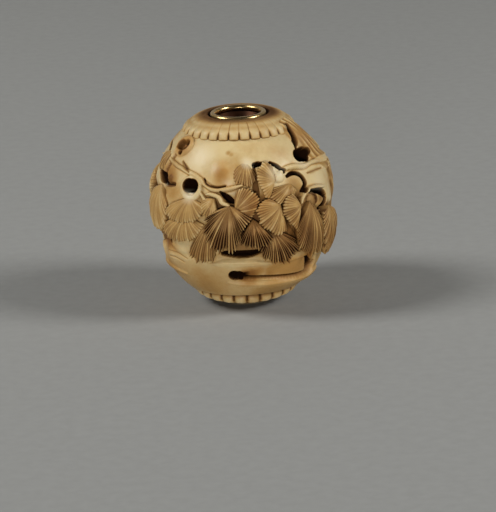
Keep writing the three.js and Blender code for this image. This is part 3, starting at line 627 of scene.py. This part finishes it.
def cut_slits(turn, height, lift, stain):
    """Slits, of which the shallow ones are soft grooves."""
    for depth_share, stain_share, route in SLITS:
        distance, width, _, _ = route_distance(turn, height, route)
        half_width = SLIT_HALF_WIDTH * width
        softness = SLIT_SOFTNESS + half_width * max(0, 1 - depth_share / SHALLOW_SLIT)
        inside = smooth_step((half_width - distance) / softness + 0.5)
        lift = lift - inside * (SLIT_DEPTH * depth_share + np.minimum(lift, 0))
        # The darkening in and beside each slit is stain and painted shade.
        if depth_share < SHALLOW_SLIT:
            darkened = np.exp(-((distance / (SHALLOW_DARKENING_WIDTH * half_width)) ** 2))
        else:
            darkened = smooth_step((half_width - distance) / softness + SLIT_DARKENING_SPILL)
        stain = np.maximum(stain, stain_share * darkened)
    return lift, stain


def drill_pits(turn, height, lift, stain):
    for *place, radius_share, depth_share in PITS:
        to_edge = PIT_RADIUS * radius_share - point_distance(turn, height, place)
        inside = smooth_step(to_edge / EDGE_SOFTNESS + 0.5)
        lift = lift - inside * (PIT_DEPTH * depth_share + np.maximum(lift, 0))
        # The pit is darkened with painted shade, more the deeper it is.
        darkened = smooth_step(to_edge / EDGE_SOFTNESS + PIT_SHADE_SPILL)
        stain = np.maximum(stain, darkened * min(DEEPEST_PAINTED_SHADE, PIT_PAINTED_SHADE + PIT_DEPTH_PAINTED_SHADE * depth_share))
    return lift, stain


def raise_bosses(turn, height, lift, stain):
    for *place, radius_share, lift_share, stain_share in BOSSES:
        distance = point_distance(turn, height, place) / (BOSS_RADIUS * radius_share)
        raised = BOSS_LIFT * (lift_share - BOSS_CROWN * (1 - bump_shape(np.minimum(distance, 1))))
        shown = (distance < 1) & (raised > lift)
        lift = np.where(shown, raised, lift)
        stain = np.where(shown, stain_share, stain)
    return lift, stain


def ground_relief(turn, height):
    """The lift of the ground with all that is carved in it, and the stain and painted shade at each place."""
    lift, stain = cut_back_ground(turn, height)
    lift = raise_clouds(turn, height, lift)
    lift = raise_ledges(turn, height, lift)
    for carve in (raise_trunk, raise_branches, raise_lips, cut_recesses, cut_slits, drill_pits, raise_bosses):
        lift, stain = carve(turn, height, lift, stain)
    return lift, stain + patches_at(turn, height, SMUDGES)


def carved_ground():
    """The carved body between its collars, with more columns at the front, where the carving is finest."""
    rest_share = (1 - FRONT_COLUMNS_SHARE) / 2
    turns = np.interp(np.linspace(0, 1, GROUND_COLUMNS, endpoint=False),
                      [0, rest_share, 1 - rest_share, 1], [-180, *FRONT_TURNS, 180])
    shares = np.linspace(GROUND_FOOT_SHARE, GROUND_TOP_SHARE, GROUND_ROWS)
    turn, height = np.meshgrid(turns, shares * POLE_HEIGHT)
    lift, stain = ground_relief(turn, height)
    lift[0] = -FOOT_RETURN
    points = surface_points(turn, height, lift).reshape(-1, 3)
    faces = grid_faces(GROUND_ROWS, GROUND_COLUMNS, True)
    return build_mesh("carved_ground", points, faces, stain=stain, warmth=warmth_at(turn, height))


def tuft_fan(edge, out):
    """The flat places of a tuft, in rings from the hub out to the edge, with its outer needles bent."""
    middle = edge.mean(axis=0)
    middle = middle / np.hypot(*middle)
    sideways = np.array([-middle[1], middle[0]])
    bend = FAN_BEND * out * (1 - np.minimum(out, 1))
    bent = bend[:, None] * (edge @ sideways)[None, :]
    return out[:, None, None] * edge[None] + bent[:, :, None] * sideways


def tuft_lift(layer, patina, rings, ridge, cut, rise):
    """A dome that is lower at both ends, with grooves between its needles and an undercut skirt."""
    dome = np.interp(rings, DOME_PLACES, DOME_LIFTS)
    crown = np.concatenate([layer + dome * TUFT_CROWN, layer + np.array(SKIRT_LIFTS) * TUFT_EDGE])[:, None]
    ends = 1 - TUFT_END_DROP * np.abs(np.linspace(-1, 1, len(ridge))) ** TUFT_END_POWER
    lift = np.where(crown > layer, layer + (crown - layer) * ends, crown)
    groove = NEEDLE_RELIEF * (0.1 + 1.25 * patina**1.5) * (1 - ridge)
    return lift - cut * groove + cut * rise * NEEDLE_RELIEF * ridge * patina


def tuft_stain(patina, out, ridge, cut, uneven):
    """Darker in the grooves, darker under the edge with dirt and painted shade, and paler along the tips of
    the needles.
    """
    stain = 0.13 + 0.3 * patina + (0.04 + 0.65 * patina**2) * (1 - ridge) * cut
    stain = stain + (0.06 + 0.16 * patina) * uneven * smooth_step(out / 0.4)[:, None]
    stain = stain - 0.16 * smooth_step((out - 0.75) / 0.25)[:, None] * ridge
    # Dirt and painted shade on the skirt under the edge.
    stain[-len(SKIRT_DIRT_AND_SHADE):] = (0.5 + 0.6 * patina) * np.array(SKIRT_DIRT_AND_SHADE)[:, None]
    return stain


def tuft_mesh(spec, seed):
    """One pine tuft: needles from a hub to a scalloped rim, over a domed pad with an undercut edge."""
    (hub_turn, hub_share), rim_places, layer_share, patina = spec
    rng = np.random.default_rng(seed)
    hub_arc = arc_length(hub_share * POLE_HEIGHT)
    flat = BODY_RADIUS * DEGREE
    rim = [
        ((turn - hub_turn) * flat, arc_length(share * POLE_HEIGHT) - hub_arc)
        for turn, share in rim_places
    ]
    _, length = curve_through(rim, 2)
    needles = max(FEWEST_NEEDLES, int(round(length / NEEDLE_PITCH)))
    columns = needles * NEEDLE_COLUMNS + 1
    edge, _ = curve_through(rim, columns)
    phase = np.linspace(0, needles, columns)
    number = np.minimum(phase.astype(int), needles - 1)
    ridge = np.abs(np.sin(np.pi * phase)) ** (0.9 + 1.6 * patina)
    tip = rng.uniform(*TIP_RANGE, needles)[number] * (0.4 + patina)
    groove_start = rng.uniform(*GROOVE_START_RANGE, needles)[number]
    rise = rng.uniform(*RISE_RANGE, needles)[number]
    uneven = rng.uniform(*UNEVEN_RANGE, needles)[number]
    edge = edge * (1 - (0.02 + 0.08 * patina) * (1 - ridge) + tip)[:, None]
    rings = np.linspace(0, 1, TUFT_RINGS) ** RING_POWER
    out = np.concatenate([rings, SKIRT_PLACES])
    place = tuft_fan(edge, out)
    cut = smooth_step((out[:, None] - groove_start) / GROOVE_BLEND + 0.5)
    lift = tuft_lift(TUFT_LAYER * layer_share, patina, rings, ridge, cut, rise)
    stain = tuft_stain(patina, out, ridge, cut, uneven)
    sides = ((0, 0), (1, 1))
    turn = np.pad(hub_turn + place[:, :, 0] / flat, sides, "edge")
    height = np.pad(np.interp(hub_arc + place[:, :, 1], ARC_LENGTHS, ARC_HEIGHTS), sides, "edge")
    lift = np.pad(lift, sides, constant_values=SIDE_SKIRT_LIFT * TUFT_EDGE)
    # The sides get the skirt's dirt and painted shade too.
    stain = np.pad(stain, sides, constant_values=SIDE_SKIRT_DIRT_AND_SHADE)
    points = surface_points(turn, height, lift).reshape(-1, 3)
    faces = grid_faces(len(out), columns + 2, False)
    counter_clockwise = np.sum(edge[:-1, 0] * edge[1:, 1] - edge[:-1, 1] * edge[1:, 0]) > 0
    if counter_clockwise:
        faces = faces[:, ::-1]
    return points, faces, stain.ravel(), warmth_at(turn, height).ravel()


def pine_tufts(name, specs, first_seed):
    """Tufts in one piece, each drawn from its own seed."""
    tufts = [tuft_mesh(spec, first_seed + index) for index, spec in enumerate(specs)]
    points, faces, stains, warmths = zip(*tufts)
    starts = np.cumsum([0] + [len(tuft) for tuft in points[:-1]])
    joined = [quads + start for quads, start in zip(faces, starts)]
    return build_mesh(name, np.concatenate(points), np.concatenate(joined),
                      stain=np.concatenate(stains), warmth=np.concatenate(warmths))


def collar_outline(radius, lip, drop, wall):
    """Rows from the bore out over the dome and in under it: radius, height, petal share and share of stain
    and painted shade.
    """
    lip_height = SEAT_HEIGHT + lip
    lip_radius = SEAT_RADIUS + COLLAR_LIP_SLANT * lip
    edge_height = lip_height - drop
    well = [
        (BORE_RADIUS, SEAT_HEIGHT, 0, 1),
        (SEAT_RADIUS, SEAT_HEIGHT, 0, 1),
        (SEAT_RADIUS, lip_height - COLLAR_LIP_SLANT * lip, 0, 0.95),
        (lip_radius, lip_height, 0, 0.75),
    ]
    dome = []
    for share in np.linspace(COLLAR_DOME_START, 1, COLLAR_DOME_ROWS):
        reach = lip_radius + share * (radius - lip_radius)
        stain = 0.6 - 0.52 * smooth_step((share - 0.12) / 0.5)
        dome.append((reach, lip_height - drop * share**COLLAR_DOME_POWER, share, stain))
    # Under the edge, where the collar meets the body, the ivory is darkened with painted shade.
    under = [
        (radius + 0.02 * wall, edge_height - 0.3 * wall, 1, 0.12),
        (radius - 0.1 * wall, edge_height - 0.65 * wall, 1, 0.4),
        (radius - 0.5 * COLLAR_NECK, edge_height - 0.95 * wall, 1, 0.4),
        (radius - COLLAR_NECK, edge_height - wall, 0.4, 0.5),
        (radius - 2 * COLLAR_NECK, edge_height - 1.8 * wall, 0, 0.5),
    ]
    return np.array(well + dome + under).T[:, :, None]


def petal_collar(name, radius, lip, drop, wall, petals, side):
    """A domed collar of rounded petals round one end of the body, with a shallow well for the rim ring."""
    reach, height, share, stain = collar_outline(radius, lip, drop, wall)
    columns = petals * PETAL_COLUMNS
    phase = np.arange(columns) / PETAL_COLUMNS
    to_edge = np.minimum(phase % 1, 1 - phase % 1)
    angle = (phase / petals) * 2 * math.pi
    from_front = (angle + math.pi) % (2 * math.pi) - math.pi
    front = 0.25 + 0.75 * np.exp(-(((from_front - 0.05) / 0.5) ** 2))
    flute = smooth_step((share - 0.2) / 0.35) * front
    notch = smooth_step((share - 0.8) / 0.18)
    bulge = np.exp(-(((share - 0.88) / 0.09) ** 2))
    shade_line = np.exp(-(((share - 0.7) / 0.08) ** 2))
    rng = np.random.default_rng(petals)
    faint = np.repeat(rng.uniform(0.1, 1, petals), PETAL_COLUMNS)
    hollow = 1 - np.sqrt(1 - 0.95 * (1 - 2 * to_edge) ** 2)
    groove = np.exp(-(to_edge / (0.05 + 0.05 * notch)) ** 2)
    cut = PETAL_GROOVE * ((0.3 * flute + 0.7 * notch) * hollow + 0.22 * groove * flute * faint)
    cut = cut - PETAL_BULGE * bulge * (1 - hollow)
    dip = COLLAR_SIDE_DIP * share * np.sin(angle) ** 2
    points = points_around(angle, reach - cut, side * (height - 0.6 * cut - dip) + MID_HEIGHT)
    uneven = 1 - 0.2 * np.cos(2 * angle) + 0.15 * np.cos(3 * angle + 1)
    stain = stain * np.where(share < 1, uneven, 1)
    stain = stain + groove * (0.4 * flute * faint + 0.4 * notch) + 0.2 * notch * hollow
    # A painted shade line behind each petal's end, and a painted highlight where it bulges.
    stain = np.clip(stain + (0.1 * shade_line - 0.04 * bulge) * (1 - 0.5 * hollow), 0, 1.1)
    faces = grid_faces(len(reach), columns, True)
    if side > 0:
        faces = faces[:, ::-1]
    return build_mesh(name, points.reshape(-1, 3), faces, stain=stain, warmth=0.4 * flute * groove)


def revolved(name, outline):
    """A closed revolve about the cord hole of an outline of radius and height pairs in the row frame."""
    outline = np.array(outline)
    rows = len(outline)
    angle = np.linspace(0, 2 * math.pi, RING_COLUMNS, endpoint=False)
    height = np.broadcast_to(outline[:, 1][:, None], (rows, RING_COLUMNS))
    points = points_around(angle, outline[:, 0][:, None], height).reshape(-1, 3)
    column = np.arange(RING_COLUMNS)
    after = (column + 1) % RING_COLUMNS
    last = (rows - 1) * RING_COLUMNS
    closing = np.stack([last + column, last + after, after, column], axis=-1)
    return build_mesh(name, points, np.vstack([grid_faces(rows, RING_COLUMNS, True), closing]))


def rim_ring(name, side):
    """The polished ring round the mouth of the cord hole, with its narrow land facing out."""
    land_angle = math.asin(RIM_LAND_WIDTH / 2 / RIM_SECTION_RADIUS)
    around = np.linspace(0, 2 * (math.pi - land_angle), RING_SECTION_POINTS)
    angles = side * (math.pi / 2 - (land_angle + around))
    radius = RIM_CENTRE_RADIUS + RIM_SECTION_RADIUS * np.cos(angles)
    height = MID_HEIGHT + side * RIM_CENTRE_HEIGHT + RIM_SECTION_RADIUS * np.sin(angles)
    outline = np.stack([radius, height], axis=-1)
    return revolved(name, outline[::-1] if side > 0 else outline)


def lined_bore(name):
    """The thin tube that lines the cord hole between the two seats."""
    outer = CORD_HOLE_RADIUS + LINER_WALL
    low = MID_HEIGHT - SEAT_HEIGHT
    high = MID_HEIGHT + SEAT_HEIGHT
    return revolved(name, [(outer, low), (outer, high), (CORD_HOLE_RADIUS, high), (CORD_HOLE_RADIUS, low)])


class Nodes:
    """A short way to make shader nodes and join them."""

    def __init__(self, name):
        self.material = bpy.data.materials.new(name)
        self.material.use_nodes = True
        self.tree = self.material.node_tree
        self.tree.nodes.clear()
        self.place = self.add("ShaderNodeTexCoord").outputs["Object"]

    def add(self, kind, values=None, **links):
        node = self.tree.nodes.new(kind)
        for key, value in (values or {}).items():
            if key in node.inputs:
                node.inputs[key].default_value = value
            else:
                setattr(node, key, value)
        for key, source in links.items():
            self.tree.links.new(source, node.inputs[key.replace("_", " ")])
        return node

    def join(self, socket, value):
        """A socket's value, which is a number, a colour or another node's output."""
        if isinstance(value, (int, float)):
            socket.default_value = value
        elif isinstance(value, tuple):
            socket.default_value = (*value, 1)
        else:
            self.tree.links.new(value, socket)

    def math(self, operation, first, second):
        node = self.add("ShaderNodeMath", {"operation": operation})
        for socket, value in zip(node.inputs, (first, second)):
            self.join(socket, value)
        return node.outputs[0]

    def spread(self, first, second, gain):
        """The difference of two values, times a gain."""
        return self.math("MULTIPLY", self.math("SUBTRACT", first, second), gain)

    def held(self, value, most):
        """A value held between nothing and a limit."""
        return self.math("MINIMUM", self.math("MAXIMUM", value, 0.0), most)

    def noise(self, scale, detail, roughness=0.5):
        """Noise that lies still on the piece."""
        values = {"Scale": scale, "Detail": detail, "Roughness": roughness}
        return self.add("ShaderNodeTexNoise", values, Vector=self.place).outputs["Fac"]

    def share(self, name):
        """A share that the mesh carries at its points."""
        return self.add("ShaderNodeAttribute", {"attribute_name": name}).outputs["Fac"]

    def ramp(self, source, stops):
        node = self.tree.nodes.new("ShaderNodeValToRGB")
        while len(node.color_ramp.elements) < len(stops):
            node.color_ramp.elements.new(1.0)
        for element, (place, colour) in zip(node.color_ramp.elements, stops):
            element.position = place
            element.color = (*colour, 1)
        self.tree.links.new(source, node.inputs[0])
        return node.outputs[0]

    def mix(self, factor, first, second):
        node = self.add("ShaderNodeMix", {"data_type": "RGBA", "blend_type": "MIX"})
        for name, value in (("Factor", factor), ("A", first), ("B", second)):
            self.join([s for s in node.inputs if s.name == name and s.enabled][0], value)
        return [s for s in node.outputs if s.enabled][0]

    def finish(self, shader):
        output = self.tree.nodes.new("ShaderNodeOutputMaterial")
        self.tree.links.new(shader.outputs[0], output.inputs["Surface"])
        return self.material


# Tints, as places on a ramp and their colours.
STAINED_IVORY = [
    (0.0, (0.64, 0.49, 0.245)),
    (0.2, (0.46, 0.28, 0.095)),
    (0.4, (0.26, 0.138, 0.042)),
    (0.65, (0.11, 0.048, 0.014)),
    (1.0, (0.012, 0.0045, 0.0018)),
]
WARM_IVORY = [
    (0.0, (0.48, 0.25, 0.062)),
    (0.4, (0.24, 0.1, 0.022)),
    (1.0, (0.015, 0.005, 0.0015)),
]
PALE_IVORY_AND_HIGHLIGHT = (0.78, 0.68, 0.47)
GILT = [(0.3, (0.72, 0.5, 0.22)), (0.7, (0.55, 0.35, 0.13))]
TARNISH = [(0.3, (0.03, 0.009, 0.003)), (0.7, (0.08, 0.028, 0.009))]
GREY_PAPER = [(0.3, (0.31, 0.31, 0.295)), (0.7, (0.33, 0.33, 0.315))]

CREVICE_DEPTH = 0.9 * MM
SPECK_BUMP = 0.02 * MM
IVORY_GLOW = 0.3 * MM
IVORY_SHINE = 0.25
LEAST_CLEAN_AND_UNSHADED = 0.1


def ivory_material():
    """Ivory that is darker and duller where it is stained, and where it is closed in with grime and painted
    shade, and warmer or paler in patches, some of the pale ones painted highlights.
    """
    nodes = Nodes("carved_ivory")
    cloudy = nodes.noise(scale=260.0, detail=4.0, roughness=0.6)
    speck = nodes.noise(scale=2600.0, detail=3.0, roughness=0.7)
    handled = nodes.noise(scale=620.0, detail=2.0)
    warmth = nodes.share("warmth")
    # Where the ambient occlusion finds the ivory closed in, it is darkened with grime and painted shade.
    openness = nodes.add("ShaderNodeAmbientOcclusion", {"samples": 8, "Distance": CREVICE_DEPTH})
    closed_dirt_and_shade = nodes.math("MAXIMUM", nodes.spread(0.8, openness.outputs["AO"], 0.45), 0.0)
    dirt_and_shade = nodes.math("ADD", nodes.share("stain"), closed_dirt_and_shade)
    dirt_and_shade = nodes.math("ADD", dirt_and_shade, nodes.spread(cloudy, 0.5, 0.3))
    dirt_and_shade = nodes.math("ADD", dirt_and_shade, nodes.spread(speck, 0.5, 0.12))
    # Pale patches are rubbed ivory, and some are painted highlights.
    pale = nodes.held(nodes.math("MULTIPLY", warmth, -0.7), 0.7)
    warmth = nodes.math("ADD", warmth, nodes.spread(handled, 0.45, 1.1))
    warm = nodes.held(nodes.math("MULTIPLY", warmth, 0.75), 0.9)
    tint = nodes.mix(warm, nodes.ramp(dirt_and_shade, STAINED_IVORY), nodes.ramp(dirt_and_shade, WARM_IVORY))
    tint = nodes.mix(pale, tint, PALE_IVORY_AND_HIGHLIGHT)
    held_dirt_and_shade = nodes.math("MAXIMUM", dirt_and_shade, 0.0)
    rough = nodes.math("ADD", 0.3, nodes.math("MULTIPLY", speck, 0.2))
    rough = nodes.math("ADD", rough, nodes.math("MULTIPLY", held_dirt_and_shade, 0.4))
    clean_and_unshaded = nodes.math("MAXIMUM", nodes.math("SUBTRACT", 1.0, held_dirt_and_shade), LEAST_CLEAN_AND_UNSHADED)
    shine = nodes.math("MULTIPLY", clean_and_unshaded, IVORY_SHINE)
    bump = nodes.add("ShaderNodeBump", {"Strength": 0.25, "Distance": SPECK_BUMP}, Height=speck)
    shader = nodes.add("ShaderNodeBsdfPrincipled", {
        "Subsurface Weight": 0.1,
        "Subsurface Radius": (1.0, 0.55, 0.25),
        "Subsurface Scale": IVORY_GLOW,
        "IOR": 1.5,
    }, Base_Color=tint, Roughness=rough, Normal=bump.outputs[0], Specular_IOR_Level=shine)
    return nodes.finish(shader)


def metal_material(name, tints, grain, metallic, least_rough, uneven_rough):
    """A metal whose tint and roughness change with a fine grain."""
    nodes = Nodes(name)
    wear = nodes.noise(scale=grain, detail=5.0)
    rough = nodes.math("ADD", least_rough, nodes.math("MULTIPLY", wear, uneven_rough))
    tint = nodes.ramp(wear, tints)
    shader = nodes.add("ShaderNodeBsdfPrincipled", {"Metallic": metallic}, Base_Color=tint, Roughness=rough)
    return nodes.finish(shader)


def gilt_material():
    return metal_material(
        "polished_gilt", GILT, grain=1400.0, metallic=1.0, least_rough=0.22, uneven_rough=0.14)


def liner_material():
    return metal_material(
        "tarnished_liner", TARNISH, grain=900.0, metallic=0.8, least_rough=0.35, uneven_rough=0.2)


def paper_material():
    nodes = Nodes("grey_paper")
    tint = nodes.ramp(nodes.noise(scale=900.0, detail=6.0), GREY_PAPER)
    values = {"Roughness": 0.9, "Specular IOR Level": 0.1}
    return nodes.finish(nodes.add("ShaderNodeBsdfPrincipled", values, Base_Color=tint))


def paper_sweep():
    """A sheet of paper that lies flat under the bead and curves up behind it."""
    half_width = 400 * MM
    front = -300 * MM
    bend_start = 160 * MM
    bend_radius = 120 * MM
    bend_steps = 16
    top = 420 * MM
    outline = [(front, 0), (bend_start, 0)]
    for step in range(1, bend_steps + 1):
        angle = step / bend_steps * math.pi / 2
        outline.append((bend_start + bend_radius * math.sin(angle), bend_radius * (1 - math.cos(angle))))
    outline.append((bend_start + bend_radius, top))
    points = []
    for depth, height in outline:
        points.append((-half_width, depth, height))
        points.append((half_width, depth, height))
    faces = [(2 * i, 2 * i + 1, 2 * i + 3, 2 * i + 2) for i in range(len(outline) - 1)]
    sweep = build_mesh("paper_sweep", points, faces)
    sweep.data.materials.append(paper_material())


def softbox(name, turn, rise, distance, width, height, power):
    """A soft lamp that faces the bead from a turn about it and a rise above its middle."""
    lamp = bpy.data.lights.new(name, "AREA")
    lamp.shape = "ELLIPSE"
    lamp.size = width
    lamp.size_y = height
    lamp.energy = power
    holder = bpy.data.objects.new(name, lamp)
    bpy.context.scene.collection.objects.link(holder)
    around = turn * DEGREE
    level = math.cos(rise * DEGREE)
    towards = Vector((level * math.sin(around), -level * math.cos(around), math.sin(rise * DEGREE)))
    holder.location = Vector((0, 0, MID_HEIGHT)) + towards * distance
    holder.rotation_euler = (-towards).to_track_quat("-Z", "Y").to_euler()


# Lamps at both sides, a low card in front and a little light from all round. Powers are watts.
SIDE_LAMP_DISTANCE = 430 * MM
SIDE_LAMP_SIZE = 150 * MM
SIDE_LAMP_POWER = 1.12
SIDE_LAMP_PLACES = {"left_softbox": (-86, 43), "right_softbox": (74, 33)}
CARD_TURN = -6
CARD_RISE = 2.8
CARD_DISTANCE = 700 * MM
CARD_WIDTH = 320 * MM
CARD_HEIGHT = 60 * MM
CARD_POWER = 2.6
AIR_COLOUR = (0.5, 0.5, 0.49, 1)
AIR_STRENGTH = 0.015


def light_studio():
    for name, (turn, rise) in SIDE_LAMP_PLACES.items():
        softbox(name, turn, rise, SIDE_LAMP_DISTANCE, SIDE_LAMP_SIZE, SIDE_LAMP_SIZE, SIDE_LAMP_POWER)
    softbox("front_card", CARD_TURN, CARD_RISE, CARD_DISTANCE, CARD_WIDTH, CARD_HEIGHT, CARD_POWER)
    world = bpy.data.worlds.new("studio_air")
    bpy.context.scene.world = world
    world.use_nodes = True
    background = world.node_tree.nodes["Background"]
    background.inputs["Color"].default_value = AIR_COLOUR
    background.inputs["Strength"].default_value = AIR_STRENGTH


# The photograph's frame, and where the middle of the bead lies in it.
FRAME_WIDTH_PIXELS = 496
FRAME_HEIGHT_PIXELS = 512
BEAD_COLUMN_PIXELS = 242.5
BEAD_ROW_PIXELS = 204.0
PIXEL_SIZE = 0.0968 * MM
CAMERA_DISTANCE = 330 * MM
CAMERA_HEIGHT_ANGLE = 15.5
CAMERA_ROLL = 2.8
SENSOR = 36 * MM
NEAREST_SEEN = 10 * MM
FARTHEST_SEEN = 5000 * MM


def aim_camera():
    """The camera at the photograph's height angle and roll, with the bead in its place in the frame."""
    data = bpy.data.cameras.new("photo_camera")
    data.sensor_fit = "VERTICAL"
    data.sensor_height = SENSOR / MM
    data.sensor_width = SENSOR / MM
    data.lens = SENSOR / MM * CAMERA_DISTANCE / (FRAME_HEIGHT_PIXELS * PIXEL_SIZE)
    data.clip_start = NEAREST_SEEN
    data.clip_end = FARTHEST_SEEN
    camera = bpy.data.objects.new("photo_camera", data)
    bpy.context.scene.collection.objects.link(camera)
    middle = Vector((0, 0, MID_HEIGHT))
    back = Vector((0, -math.cos(CAMERA_HEIGHT_ANGLE * DEGREE), math.sin(CAMERA_HEIGHT_ANGLE * DEGREE)))
    camera.location = middle + back * CAMERA_DISTANCE
    right = Vector((1, 0, 0))
    up = back.cross(right)
    roll = Matrix.Rotation(-CAMERA_ROLL * DEGREE, 3, back)
    aside = (FRAME_WIDTH_PIXELS / 2 - BEAD_COLUMN_PIXELS) * PIXEL_SIZE
    below = (FRAME_HEIGHT_PIXELS / 2 - BEAD_ROW_PIXELS) * PIXEL_SIZE
    target = middle + (roll @ right) * aside - (roll @ up) * below
    forward = (target - camera.location).normalized()
    side = forward.cross(roll @ up).normalized()
    top = side.cross(forward)
    camera.rotation_euler = Matrix((side, top, -forward)).transposed().to_euler()
    bpy.context.scene.camera = camera


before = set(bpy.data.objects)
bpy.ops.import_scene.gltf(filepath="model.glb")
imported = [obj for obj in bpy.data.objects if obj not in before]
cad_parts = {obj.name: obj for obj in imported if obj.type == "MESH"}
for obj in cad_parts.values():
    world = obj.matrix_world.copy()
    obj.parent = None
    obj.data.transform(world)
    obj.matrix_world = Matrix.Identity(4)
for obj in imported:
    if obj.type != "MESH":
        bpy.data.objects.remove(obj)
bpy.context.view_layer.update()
bpy.context.scene.view_settings.view_transform = "Standard"
aim_camera()
paper_sweep()
light_studio()

UPPER_COLLAR = (UPPER_COLLAR_RADIUS, UPPER_COLLAR_LIP, UPPER_COLLAR_DROP, UPPER_COLLAR_WALL, UPPER_PETALS, 1)
LOWER_COLLAR = (LOWER_COLLAR_RADIUS, LOWER_COLLAR_LIP, LOWER_COLLAR_DROP, LOWER_COLLAR_WALL, LOWER_PETALS, -1)
FRONT_SEED = 100
BACK_SEED = 200

ivory = ivory_material()
pieces = [
    carved_ground(),
    pine_tufts("pine_tufts_front", TUFTS[:FRONT_TUFTS], FRONT_SEED),
    pine_tufts("pine_tufts_back", TUFTS[FRONT_TUFTS:], BACK_SEED),
    petal_collar("upper_petal_collar", *UPPER_COLLAR),
    petal_collar("lower_petal_collar", *LOWER_COLLAR),
]
for piece in pieces:
    piece.data.materials.append(ivory)
    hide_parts("carved_body")

gilt = gilt_material()
for name, node, side in (("upper_gilt_ring", "upper_rim_ring", 1), ("lower_gilt_ring", "lower_rim_ring", -1)):
    ring = rim_ring(name, side)
    ring.data.materials.append(gilt)
    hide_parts(node)
    pieces.append(ring)

liner = lined_bore("dark_bore_liner")
liner.data.materials.append(liner_material())
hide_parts("bore_liner")
pieces.append(liner)

for piece in pieces:
    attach(piece, "root")
